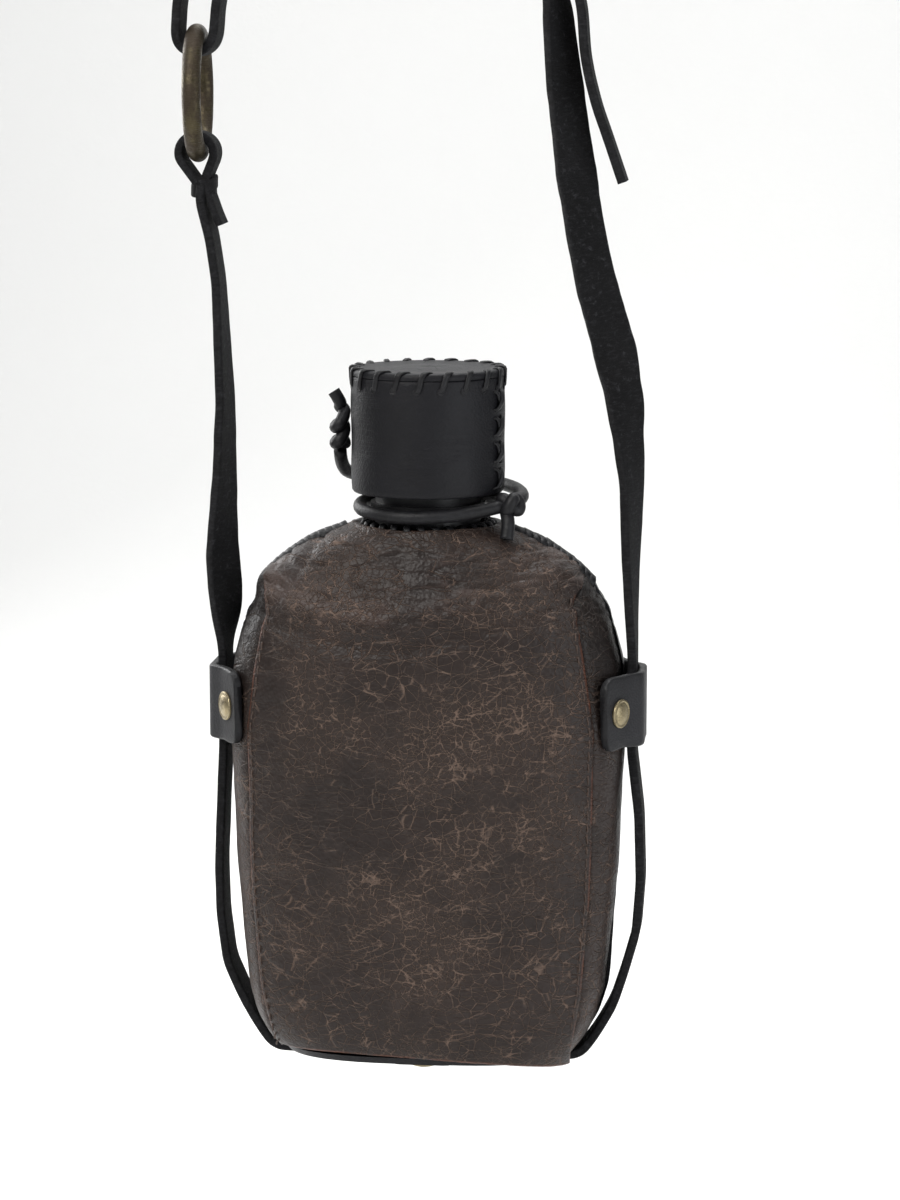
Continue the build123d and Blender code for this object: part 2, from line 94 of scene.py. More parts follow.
# Shape of the cover: share of height, of half width, of half depth, and how square it is.
PROFILE = np.array([
    (0.000, 0.754, 0.86, 3.0), (0.028, 0.822, 0.93, 3.0), (0.070, 0.885, 0.97, 3.0),
    (0.130, 0.930, 0.99, 3.0), (0.350, 0.975, 1.00, 2.9), (0.580, 1.000, 1.00, 2.9),
    (0.745, 0.985, 0.99, 2.9), (0.840, 0.920, 0.95, 2.8), (0.895, 0.845, 0.88, 2.6),
    (0.930, 0.745, 0.81, 2.4), (0.955, 0.650, 0.76, 2.3), (0.976, 0.560, 0.71, 2.2),
    (0.990, 0.450, 0.66, 2.1), (1.000, 0.346, 0.636, 2.0)])
SEAM = np.array([(0.0, 50.0), (25.0, 54.5), (57.0, 57.3), (115.0, 58.5), (160.0, 52.0)])
SEAM_END = 166.0            # height where the front's side seam meets the shoulder's ridge


def softened(values, reach):
    """Running average with held ends, which rounds the corners of a straight-line table."""
    padded = np.pad(values, reach, mode="edge")
    return np.convolve(padded, np.ones(2 * reach + 1) / (2 * reach + 1), "valid")


LEVELS = np.linspace(0, HEIGHT, 600)
WIDTHS = softened(np.interp(LEVELS / HEIGHT, PROFILE[:, 0], PROFILE[:, 1]) * HALF_WIDTH, 9)
DEPTHS = softened(np.interp(LEVELS / HEIGHT, PROFILE[:, 0], PROFILE[:, 2]) * HALF_DEPTH, 9)
POWERS = np.interp(LEVELS / HEIGHT, PROFILE[:, 0], PROFILE[:, 3])


def cover_size(z):
    """Half width, half depth and squareness of the cover at height z."""
    return np.interp(z, LEVELS, WIDTHS), np.interp(z, LEVELS, DEPTHS), np.interp(z, LEVELS, POWERS)


def seam_half_width(z):
    """Half width of the front panel: its side seam, then the shoulder's ridge."""
    wide = cover_size(z)[0]
    seam = min(np.interp(z, SEAM[:, 0], SEAM[:, 1]), wide)
    share = np.clip((z - 160.0) / (SEAM_END - 160.0), 0, 1)
    return seam + (wide - seam) * share * share * (3 - 2 * share)


def cover_run(z, start, end, count, front=True):
    """Points of the cover's outline at height z between two angles, evenly spaced; 0 is +X, pi is -X."""
    a, b, power = cover_size(z)
    t = np.linspace(start, end, 500)
    x = a * np.sign(np.cos(t)) * np.abs(np.cos(t)) ** (2 / power)
    y = (-b if front else b) * np.abs(np.sin(t)) ** (2 / power)
    run = np.concatenate([[0], np.cumsum(np.hypot(np.diff(x), np.diff(y)))])
    at = np.linspace(0, run[-1], count)
    return np.stack([np.interp(at, run, x), np.interp(at, run, y), np.full(count, z)], 1)


def seam_angle(z):
    """Angle at which the outline reaches the front panel's seam."""
    a, _, power = cover_size(z)
    return math.acos(min(1.0, (seam_half_width(z) / a) ** (power / 2)))


def levels_by_length(count, low, high):
    """Heights spaced evenly along the cover's outline."""
    z = np.linspace(low, high, 800)
    a, b, _ = cover_size(z)
    run = np.concatenate([[0], np.cumsum(np.hypot(np.hypot(np.diff(a), np.diff(b)), np.diff(z)))])
    return np.interp(np.linspace(0, run[-1], count), run, z)


# ---- Mesh helpers ----
def noise_at(points, scale, seed, octaves=2):
    """Smooth noise in about -1..1 at points, with features of about the given size."""
    shift = Vector((seed * 13.7, seed * 5.1, seed * 9.3))
    size = np.asarray(scale, float) * np.ones(3)
    return np.array([noise.fractal(Vector(p / size) + shift, 1.0, 2.0, octaves) for p in points])


def object_from(name, verts, faces, smooth=True, loose=False):
    """Mesh object from local millimetre points; a loose one keeps its own middle at the origin."""
    mesh = bpy.data.meshes.new(name)
    verts = np.asarray(verts, float) * MM if loose else place(verts)
    mesh.from_pydata([tuple(p) for p in verts], [], faces)
    mesh.polygons.foreach_set("use_smooth", [smooth] * len(mesh.polygons))
    mesh.update()
    piece = bpy.data.objects.new(name, mesh)
    bpy.context.scene.collection.objects.link(piece)
    return piece


def grid_faces(rows, cols, wrap_cols=False, wrap_rows=False):
    """Quads of a grid of rows by columns."""
    faces = []
    for r in range(rows if wrap_rows else rows - 1):
        for c in range(cols if wrap_cols else cols - 1):
            r1, c1 = (r + 1) % rows, (c + 1) % cols
            faces.append((r * cols + c, r * cols + c1, r1 * cols + c1, r1 * cols + c))
    return faces


def grid_normals(grid):
    """Unit normals of a grid of points."""
    n = np.cross(np.gradient(grid, axis=1), np.gradient(grid, axis=0))
    return n / np.maximum(np.linalg.norm(n, axis=2, keepdims=True), 1e-9)


def add_attribute(piece, name, values):
    """Store one number for each point."""
    layer = piece.data.attributes.new(name, "FLOAT", "POINT")
    layer.data.foreach_set("value", np.asarray(values, np.float32).ravel())


def add_uv(piece, u, v):
    """UV map from one pair of numbers for each point."""
    layer = piece.data.uv_layers.new(name="along")
    loops = np.zeros(len(piece.data.loops), np.int32)
    piece.data.loops.foreach_get("vertex_index", loops)
    layer.data.foreach_set("uv", np.stack([np.ravel(u)[loops], np.ravel(v)[loops]], 1).astype(np.float32).ravel())


def lathe(name, outline, segments=128, centre=(0, 0, 0), wobble=0.0, seed=1, loose=False):
    """Turn a closed outline of (radius, height) about the vertical axis."""
    outline = np.asarray(outline, float)
    angles = np.linspace(0, 2 * math.pi, segments, endpoint=False)
    grid = np.zeros((len(outline), segments, 3))
    grid[:, :, 0] = outline[:, :1] * np.cos(angles) + centre[0]
    grid[:, :, 1] = outline[:, :1] * np.sin(angles) + centre[1]
    grid[:, :, 2] = outline[:, 1:] + centre[2]
    points = grid.reshape(-1, 3)
    if wobble:
        points[:, :2] *= 1 + (wobble * noise_at(points, (14, 14, 22), seed) / 26.0)[:, None]
    return face_out(object_from(name, points, grid_faces(len(outline), segments, True, True), loose=loose))


def modify(piece, kind, **settings):
    """Add a modifier with settings."""
    modifier = piece.modifiers.new(kind.title(), kind)
    for key, value in settings.items():
        setattr(modifier, key, value)
    return modifier


def fixed_mesh(piece):
    """Make the piece's modifiers final."""
    graph = bpy.context.evaluated_depsgraph_get()
    mesh = bpy.data.meshes.new_from_object(piece.evaluated_get(graph))
    piece.modifiers.clear()
    piece.data = mesh
    return piece


def face_out(piece):
    """Merge doubles and point every face outwards."""
    work = bmesh.new()
    work.from_mesh(piece.data)
    bmesh.ops.remove_doubles(work, verts=work.verts, dist=1e-6)
    bmesh.ops.recalc_face_normals(work, faces=work.faces)
    work.to_mesh(piece.data)
    work.free()
    return piece


def finish_piece(piece, body, material, replaces=()):
    """Give a piece its finish, its body and the CAD nodes that it stands for."""
    piece.data.materials.clear()
    piece.data.materials.append(material)
    if body:
        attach(piece, body)
    if replaces:
        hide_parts(*replaces)
    return piece


# ---- Finishes ----
class Wire:
    """An output socket that can stand in a sum."""

    def __init__(self, finish, socket):
        self.finish, self.socket = finish, socket

    def __add__(self, other): return self.finish.maths("ADD", self, other)
    def __radd__(self, other): return self.finish.maths("ADD", other, self)
    def __sub__(self, other): return self.finish.maths("SUBTRACT", self, other)
    def __rsub__(self, other): return self.finish.maths("SUBTRACT", other, self)
    def __mul__(self, other): return self.finish.maths("MULTIPLY", self, other)
    def __rmul__(self, other): return self.finish.maths("MULTIPLY", other, self)
    def __pow__(self, other): return self.finish.maths("POWER", self, other)

    def between(self, low, high):
        """0 below low, 1 above high, smooth between; low may be the larger."""
        return self.finish.node("ShaderNodeMapRange", {"interpolation_type": "SMOOTHSTEP"},
                                Value=self, From_Min=low, From_Max=high)

    def __getitem__(self, name):
        return Wire(self.finish, self.socket.node.outputs[name])


class Finish:
    """Builds one material's nodes."""

    def __init__(self, name):
        self.material = bpy.data.materials.new(name)
        self.material.use_nodes = True
        self.tree = self.material.node_tree
        self.shader = self.tree.nodes["Principled BSDF"]
        self.place = self.node("ShaderNodeTexCoord")["Object"]
        self.uv = self.node("ShaderNodeTexCoord")["UV"]

    def connect(self, socket, value):
        if isinstance(value, Wire):
            self.tree.links.new(value.socket, socket)
        elif hasattr(socket.default_value, "__len__") and len(socket.default_value) == 4:
            socket.default_value = (*value[:3], 1.0)
        else:
            socket.default_value = value

    def node(self, kind, settings=None, **inputs):
        node = self.tree.nodes.new(kind)
        for key, value in (settings or {}).items():
            if key == "stops":
                ramp = node.color_ramp.elements
                while len(ramp) < len(value):
                    ramp.new(0.5)
                for stop, (at, colour) in zip(ramp, value):
                    stop.position, stop.color = at, (*colour, 1.0)
            else:
                setattr(node, key, value)
        for key, value in inputs.items():
            name = key.replace("_", " ")
            socket = node.inputs[int(name[1:])] if name[0] == "i" and name[1:].isdigit() else node.inputs[name]
            self.connect(socket, value)
        return Wire(self, next(s for s in node.outputs if s.enabled))

    def maths(self, operation, a, b=0.0):
        return self.node("ShaderNodeMath", {"operation": operation}, i0=a, i1=b)

    def stretched(self, x, y, z, source=None):
        """Coordinates scaled along each axis."""
        return self.node("ShaderNodeMapping", Vector=source or self.place, Scale=(x, y, z))

    def grain(self, scale, detail=3.0, rough=0.55, distort=0.0, source=None):
        """Noise from 0 to 1."""
        return self.node("ShaderNodeTexNoise", Vector=source or self.place, Scale=scale, Detail=detail,
                         Roughness=rough, Distortion=distort)

    def cells(self, scale, feature="F1", source=None, random=1.0):
        return self.node("ShaderNodeTexVoronoi", {"feature": feature}, Vector=source or self.place,
                         Scale=scale, Randomness=random)

    def attribute(self, name):
        return self.node("ShaderNodeAttribute", {"attribute_name": name})["Fac"]

    def mix(self, share, a, b, mode="MIX"):
        """Mix of two colours."""
        node = self.tree.nodes.new("ShaderNodeMix")
        node.data_type, node.blend_type = "RGBA", mode
        self.connect(node.inputs[0], share)
        self.connect(node.inputs[6], a)
        self.connect(node.inputs[7], b)
        return Wire(self, node.outputs[2])

    def warped(self, scale, amount):
        """Coordinates pushed about by noise, by about amount metres."""
        push = self.node("ShaderNodeTexNoise", Vector=self.place, Scale=scale, Detail=2.0)["Color"]
        centred = self.node("ShaderNodeVectorMath", {"operation": "SUBTRACT"}, i0=push, i1=(0.5, 0.5, 0.5))
        scaled = self.node("ShaderNodeVectorMath", {"operation": "MULTIPLY"}, i0=centred, i1=(amount,) * 3)
        return self.node("ShaderNodeVectorMath", {"operation": "ADD"}, i0=self.place, i1=scaled)

    def relief(self, *layers):
        """Chain of bumps: (height, depth in metres)."""
        normal = None
        for height, depth in layers:
            inputs = {"Height": height, "Strength": 1.0, "Distance": depth}
            if normal is not None:
                inputs["Normal"] = normal
            normal = self.node("ShaderNodeBump", **inputs)
        self.connect(self.shader.inputs["Normal"], normal)

    def set(self, **inputs):
        for key, value in inputs.items():
            self.connect(self.shader.inputs[key.replace("_", " ")], value)
        return self.material


def shade(colour, factor):
    """A colour made lighter or darker."""
    return tuple(min(1.0, c * factor) for c in colour[:3])


def brown_leather(name, colour, wear_colour):
    """Waxed brown leather: dark clouds, pale crackle where it has been creased, reddish cut edges, a painted highlight
    on the shoulder and painted shade on the gussets.
    """
    f = Finish(name)
    clouds = f.grain(16, 4, 0.6)
    smoke = f.grain(31, 5, 0.65, 0.3).between(0.46, 0.66)
    mottle = f.grain(260, 3, 0.6)
    bent, bent_more = f.warped(60, 0.0055), f.warped(160, 0.0028)
    fine = 1 - f.cells(400, "DISTANCE_TO_EDGE", bent_more).between(0.0, 0.080)
    middle = 1 - f.cells(240, "DISTANCE_TO_EDGE", bent).between(0.0, 0.052)
    wide = 1 - f.cells(92, "DISTANCE_TO_EDGE", bent_more).between(0.0, 0.022)
    turned = f.node("ShaderNodeMapping", Vector=bent, Rotation=(0.0, 0.62, 0.0), Scale=(60, 60, 240))
    long_lines = 1 - f.cells(1.0, "DISTANCE_TO_EDGE", turned).between(0.0, 0.030)
    turned_back = f.node("ShaderNodeMapping", Vector=bent_more, Rotation=(0.0, -0.85, 0.0), Scale=(48, 48, 200))
    cross_lines = 1 - f.cells(1.0, "DISTANCE_TO_EDGE", turned_back).between(0.0, 0.026)
    level = f.node("ShaderNodeMapping", Vector=bent, Scale=(45, 45, 260))
    level_lines = 1 - f.cells(1.0, "DISTANCE_TO_EDGE", level).between(0.0, 0.030)
    patches = f.grain(30, 4, 0.6, 0.3).between(0.42, 0.62)
    other = f.grain(17, 3, 0.55, 0.2).between(0.38, 0.58)
    broken = f.grain(150, 2, 0.5).between(0.36, 0.60)
    lines = (fine * patches * 0.70 + middle * other * 0.62 + wide * 0.45 * broken + long_lines * 0.55 * broken
             + cross_lines * 0.55 * other + level_lines * 0.50 * broken).between(0.02, 0.95)
    base = f.mix(clouds.between(0.3, 0.7), shade(colour, 0.75), shade(colour, 1.25))
    base = f.mix(smoke * 0.55, base, shade(colour, 0.60))
    base = f.mix(mottle.between(0.35, 0.75) * 0.25, base, shade(colour, 1.6))
    # Painted highlight: much lighter on the shoulder's fold, its wrinkle ridges and the gussets' lit parts.
    base = f.mix(f.attribute("raised").between(0.35, 1.0) * 0.60, base, shade(colour, 3.0))
    base = f.mix(patches * 0.07, base, wear_colour)
    base = f.mix(lines * 0.80, base, wear_colour)
    # Painted shade: much darker where the side gussets turn away, towards the top and the back.
    base = f.mix(f.attribute("shade"), base, shade(colour, 0.16))
    rubbed = f.attribute("edge").between(0.25, 0.95) * f.grain(130, 3).between(0.34, 0.58)
    base = f.mix(rubbed * 0.85, base, (0.150, 0.052, 0.028))
    f.relief((f.grain(60, 4, 0.6), 0.0007), (1 - lines, 0.00055), (f.cells(820, "F1"), 0.00016), (mottle, 0.00030))
    rough = 0.36 + smoke * 0.10 + lines * 0.22 + mottle * 0.12
    return f.set(Base_Color=base, Roughness=rough, Specular_IOR_Level=0.26)


def smooth_leather(name, colour, rough=0.42, scuff=0.3, edge_colour=None):
    """Plain dyed leather: fine grain, faint scuffs, burnished edges."""
    f = Finish(name)
    clouds = f.grain(26, 4, 0.6)
    grain = f.cells(1150, "F1", f.warped(300, 0.0012))
    fleck = f.grain(640, 3, 0.6)
    turned = f.node("ShaderNodeMapping", Vector=f.place, Rotation=(0.0, 0.5, 0.3), Scale=(60, 60, 620))
    scratches = 1 - f.cells(1.0, "DISTANCE_TO_EDGE", turned).between(0.0, 0.020)
    marks = scratches * f.grain(44, 2).between(0.52, 0.66)
    base = f.mix(clouds.between(0.3, 0.7), shade(colour, 0.80), shade(colour, 1.25))
    base = f.mix(fleck.between(0.55, 0.75) * 0.5, base, shade(colour, 1.9))
    base = f.mix(marks * scuff, base, shade(colour, 3.4))
    edge = f.attribute("edge").between(0.35, 1.0)
    base = f.mix(edge * 0.8, base, edge_colour or shade(colour, 0.45))
    f.relief((clouds, 0.0005), (grain, 0.00010), (fleck, 0.00012), (1 - marks, 0.00012))
    return f.set(Base_Color=base, Roughness=rough + fleck * 0.16 - edge * 0.10 + marks * 0.15,
                 Specular_IOR_Level=0.26)


def split_leather(name, colour):
    """Rough suede strap: short fibres along it, pale lint, darker hollows."""
    f = Finish(name)
    along = f.stretched(150, 34, 1, f.uv)
    fibres = f.node("ShaderNodeTexNoise", Vector=along, Scale=9.0, Detail=5.0, Roughness=0.7)
    nap = f.grain(520, 4, 0.7)
    lint = f.cells(900, "F1", f.warped(500, 0.0015)).between(0.20, 0.02) * f.grain(170, 2).between(0.5, 0.7)
    clouds = f.grain(36, 3)
    base = f.mix(clouds.between(0.3, 0.7), shade(colour, 0.7), shade(colour, 1.35))
    base = f.mix(fibres.between(0.48, 0.72) * 0.7, base, shade(colour, 3.6))
    base = f.mix(nap.between(0.54, 0.74) * 0.7, base, shade(colour, 7.0))
    base = f.mix(lint * 0.60, base, shade(colour, 12.0))
    base = f.mix(f.attribute("edge").between(0.4, 1.0) * nap.between(0.35, 0.6) * 0.5, base, shade(colour, 3.2))
    f.relief((nap, 0.0007), (fibres, 0.0005), (lint, 0.0003))
    return f.set(Base_Color=base, Roughness=0.80 + nap * 0.18, Specular_IOR_Level=0.20)


def lace_leather(name, colour, rough=0.45):
    """Narrow black lace: a slight shine, rubbed corners."""
    f = Finish(name)
    nap = f.grain(900, 3, 0.6)
    wear = f.grain(180, 3)
    base = f.mix(wear.between(0.35, 0.7), shade(colour, 0.8), shade(colour, 1.7))
    base = f.mix(nap.between(0.55, 0.8) * 0.5, base, shade(colour, 3.0))
    f.relief((nap, 0.00018), (wear, 0.0003))
    return f.set(Base_Color=base, Roughness=rough + nap * 0.2, Specular_IOR_Level=0.30)


def moulded_plastic():
    """Black blow-moulded plastic: satin, faint flow marks and scuffs."""
    f = Finish("moulded_plastic")
    flow = f.grain(70, 3, 0.5, 0.8, f.stretched(1, 1, 0.3))
    fine = f.grain(1400, 2)
    base = f.mix(flow.between(0.3, 0.7), (0.006, 0.006, 0.007), (0.011, 0.011, 0.012))
    f.relief((flow, 0.0003), (fine, 0.00006))
    return f.set(Base_Color=base, Roughness=0.32 + fine * 0.16, Specular_IOR_Level=0.35)


def seal_rubber():
    """Dark sealing rubber with a dull bloom."""
    f = Finish("seal_rubber")
    bloom = f.grain(120, 4)
    base = f.mix(bloom.between(0.4, 0.7), (0.022, 0.022, 0.022), (0.045, 0.044, 0.042))
    f.relief((bloom, 0.0002),)
    return f.set(Base_Color=base, Roughness=0.7 + bloom * 0.2)


def aged_brass(name, colour, patina=0.5):
    """Antique brass: dark patina in the hollows, rubbed bright where it is handled."""
    f = Finish(name)
    stain = f.grain(120, 5, 0.7, 0.5)
    fine = f.grain(900, 3, 0.7)
    turned = f.node("ShaderNodeMapping", Vector=f.place, Rotation=(0.4, 0.2, 0.3), Scale=(240, 240, 1500))
    scratches = 1 - f.cells(1.0, "DISTANCE_TO_EDGE", turned).between(0.0, 0.03)
    dark = (stain + fine * 0.35 - 0.18).between(0.62 - 0.30 * patina, 0.78 - 0.20 * patina)
    base = f.mix(dark * 0.9, colour, (0.040, 0.028, 0.018))
    base = f.mix(scratches * 0.35, base, shade(colour, 1.35))
    f.relief((stain, 0.0003), (fine, 0.0001), (1 - scratches, 0.00006))
    return f.set(Base_Color=base, Roughness=0.30 + dark * 0.28 + fine * 0.12, Metallic=1.0 - dark * 0.35)


def waxed_thread():
    """Dark brown waxed thread with a twist."""
    f = Finish("waxed_thread")
    twist = f.grain(1500, 2)
    base = f.mix(twist.between(0.35, 0.7), (0.030, 0.018, 0.013), (0.075, 0.045, 0.032))
    f.relief((twist, 0.0002),)
    return f.set(Base_Color=base, Roughness=0.55 + twist * 0.2)


FINISHES = {}


def finish_named(name, maker, *details):
    """One material of each name, made when it is first asked for."""
    if name not in FINISHES:
        FINISHES[name] = maker(name, *details) if details else maker()
    return FINISHES[name]


# ---- Rows of stitches, made by Geometry Nodes ----
def row_tree():
    """Node group that sets copies of one stitch along a line, by the line's "out" and "along" vectors."""
    found = bpy.data.node_groups.get("row_along_line")
    if found:
        return found
    tree = bpy.data.node_groups.new("row_along_line", "GeometryNodeTree")
    face = tree.interface
    face.new_socket("Line", in_out="INPUT", socket_type="NodeSocketGeometry")
    for name, kind, value in (("Stitch", "NodeSocketObject", None), ("Count", "NodeSocketInt", 10),
                              ("Size", "NodeSocketFloat", 1.0), ("Wobble", "NodeSocketFloat", 0.05),
                              ("Seed", "NodeSocketInt", 1), ("Finish", "NodeSocketMaterial", None)):
        socket = face.new_socket(name, in_out="INPUT", socket_type=kind)
        if value is not None:
            socket.default_value = value
    face.new_socket("Row", in_out="OUTPUT", socket_type="NodeSocketGeometry")

    def add(kind, **settings):
        node = tree.nodes.new(kind)
        for key, value in settings.items():
            setattr(node, key, value)
        return node

    def vector_attribute(name):
        node = add("GeometryNodeInputNamedAttribute", data_type="FLOAT_VECTOR")
        node.inputs["Name"].default_value = name
        return node.outputs["Attribute"]

    link = tree.links.new
    given = add("NodeGroupInput")
    curve = add("GeometryNodeMeshToCurve")
    spaced = add("GeometryNodeResampleCurve")
    stitch = add("GeometryNodeObjectInfo")
    set_up = add("FunctionNodeAlignRotationToVector", axis="Z")
    set_along = add("FunctionNodeAlignRotationToVector", axis="X", pivot_axis="Z")
    wobble = add("FunctionNodeRandomValue", data_type="FLOAT_VECTOR")
    negative = add("ShaderNodeMath", operation="MULTIPLY")
    negative.inputs[1].default_value = -1.0
    turn = add("FunctionNodeRotateRotation", rotation_space="LOCAL")
    to_turn = add("FunctionNodeEulerToRotation")
    copies = add("GeometryNodeInstanceOnPoints")
    real = add("GeometryNodeRealizeInstances")
    painted = add("GeometryNodeSetMaterial")
    made = add("NodeGroupOutput")
    link(given.outputs["Line"], curve.inputs["Mesh"])
    link(curve.outputs["Curve"], spaced.inputs["Curve"])
    link(given.outputs["Count"], spaced.inputs["Count"])
    link(given.outputs["Stitch"], stitch.inputs["Object"])
    link(vector_attribute("out"), set_up.inputs["Vector"])
    link(set_up.outputs["Rotation"], set_along.inputs["Rotation"])
    link(vector_attribute("along"), set_along.inputs["Vector"])
    link(given.outputs["Wobble"], negative.inputs[0])
    link(negative.outputs[0], wobble.inputs["Min"])
    link(given.outputs["Wobble"], wobble.inputs["Max"])
    link(given.outputs["Seed"], wobble.inputs["Seed"])
    link(wobble.outputs["Value"], to_turn.inputs["Euler"])
    link(set_along.outputs["Rotation"], turn.inputs["Rotation"])
    link(to_turn.outputs["Rotation"], turn.inputs["Rotate By"])
    link(spaced.outputs["Curve"], copies.inputs["Points"])
    link(stitch.outputs["Geometry"], copies.inputs["Instance"])
    link(turn.outputs["Rotation"], copies.inputs["Rotation"])
    link(given.outputs["Size"], copies.inputs["Scale"])
    link(copies.outputs["Instances"], real.inputs["Geometry"])
    link(real.outputs["Geometry"], painted.inputs["Geometry"])
    link(given.outputs["Finish"], painted.inputs["Material"])
    link(painted.outputs["Geometry"], made.inputs["Row"])
    return tree


def row(name, line, out, along, count, stitch, material, wobble=0.05, size=1.0, seed=1, closed=False):
    """Mesh of count stitches along a line of local points, with their outward and lengthwise directions."""
    line = place(line)
    mesh = bpy.data.meshes.new(name)
    edges = [(i, i + 1) for i in range(len(line) - 1)] + ([(len(line) - 1, 0)] if closed else [])
    mesh.from_pydata([tuple(p) for p in line], edges, [])
    for key, values in (("out", out), ("along", along)):
        layer = mesh.attributes.new(key, "FLOAT_VECTOR", "POINT")
        layer.data.foreach_set("vector", np.asarray(values, np.float32).ravel())
    piece = bpy.data.objects.new(name, mesh)
    bpy.context.scene.collection.objects.link(piece)
    modifier = piece.modifiers.new("Row", "NODES")
    modifier.node_group = row_tree()
    values = {"Stitch": stitch, "Count": count, "Size": size, "Wobble": wobble, "Seed": seed, "Finish": material}
    for item in modifier.node_group.interface.items_tree:
        if item.in_out == "INPUT" and item.name in values:
            modifier[item.identifier] = values[item.name]
    fixed_mesh(piece)
    piece.data.name = name
    for key in ("out", "along"):
        if key in piece.data.attributes:
            piece.data.attributes.remove(piece.data.attributes[key])
    return piece


# ---- Bands and cords ----
def rounded_section(width, thick, corner=0.8, steps=2):
    """Closed outline of a flat band with rounded corners, across and out."""
    points = []
    for cx, cy, start in ((1, 1, 0), (-1, 1, 90), (-1, -1, 180), (1, -1, 270)):
        for k in range(steps + 1):
            a = math.radians(start + 90 * k / steps)
            points.append((cx * (width / 2 - corner) + corner * math.cos(a),
                           cy * (thick / 2 - corner) + corner * math.sin(a)))
    return np.array(points)


def round_section(radius, sides=12):
    angles = np.linspace(0, 2 * math.pi, sides, endpoint=False)
    return np.stack([radius * np.cos(angles), radius * np.sin(angles)], 1)


def swept(path, across, out, section, closed=False):
    """Grid of a section carried along a path, and its faces."""
    path, across, out = (np.asarray(v, float) for v in (path, across, out))
    grid = path[:, None] + section[None, :, :1] * across[:, None] + section[None, :, 1:] * out[:, None]
    rows, cols = grid.shape[:2]
    faces = grid_faces(rows, cols, True, closed)
    if not closed:
        faces += [tuple(range(cols))[::-1], tuple((rows - 1) * cols + c for c in range(cols))]
    return grid, faces


def directions(path, closed=False):
    """Unit tangents of a path."""
    path = np.asarray(path, float)
    ahead = np.roll(path, -1, 0) - np.roll(path, 1, 0) if closed else np.gradient(path, axis=0)
    return ahead / np.linalg.norm(ahead, axis=1, keepdims=True)


def carried_frame(path, closed=False):
    """Across and out directions that turn as little as possible along a path."""
    tangents = directions(path, closed)
    out = np.cross(tangents[0], (0.3, 0.2, 0.93))
    frames = []
    for t in tangents:
        out = out - t * out.dot(t)
        out /= np.linalg.norm(out)
        frames.append((np.cross(out, t), out.copy()))
    return np.array([a for a, _ in frames]), np.array([o for _, o in frames])


def cord_mesh(name, path, radius, sides=12, closed=False):
    """Round cord along close points."""
    across, out = carried_frame(path, closed)
    grid, faces = swept(path, across, out, round_section(radius, sides), closed)
    return face_out(object_from(name, grid.reshape(-1, 3), faces))


def smooth_route(points, name="route"):
    """Close points of the second-order spline through given control points, in metres."""
    curve = bpy.data.curves.new(name, "CURVE")
    curve.dimensions = "3D"
    curve.resolution_u = 12
    spline = curve.splines.new("NURBS")
    spline.points.add(len(points) - 1)
    for point, at in zip(spline.points, points):
        point.co = (*at, 1.0)
    spline.use_endpoint_u = True
    spline.order_u = 3
    line = bpy.data.objects.new(name, curve)
    bpy.context.scene.collection.objects.link(line)
    graph = bpy.context.evaluated_depsgraph_get()
    mesh = bpy.data.meshes.new_from_object(line.evaluated_get(graph))
    route = [v.co.copy() for v in mesh.vertices]
    bpy.data.objects.remove(line)
    bpy.data.curves.remove(curve)
    bpy.data.meshes.remove(mesh)
    return route


def lace_stitch(name, points, width, thick, lean=0.0):
    """One lace stitch: a flat band along local (x, z) points, leaning sideways as it goes."""
    x, z = np.array(points, float).T
    path = np.stack([x, np.linspace(-lean / 2, lean / 2, len(x)), z], 1)
    t = directions(path)
    across = np.array([(0, 1, 0)] * len(x), float)
    across -= t * (t * across).sum(1, keepdims=True)
    across /= np.linalg.norm(across, axis=1, keepdims=True)
    grid, faces = swept(path, across, np.cross(t, across), rounded_section(width, thick, thick * 0.38, 1))
    return face_out(object_from(name, grid.reshape(-1, 3), faces, loose=True))


def softened_path(points, step=1.0, reach=3):
    """Close stations along a coarse path of any number of columns, its corners rounded."""
    points = np.asarray(points, float)
    run = np.concatenate([[0], np.cumsum(np.linalg.norm(np.diff(points[:, :3], axis=0), axis=1))])
    at = np.linspace(0, run[-1], int(run[-1] / step) + 1)
    return np.stack([softened(np.interp(at, run, column), reach) for column in points.T], 1)


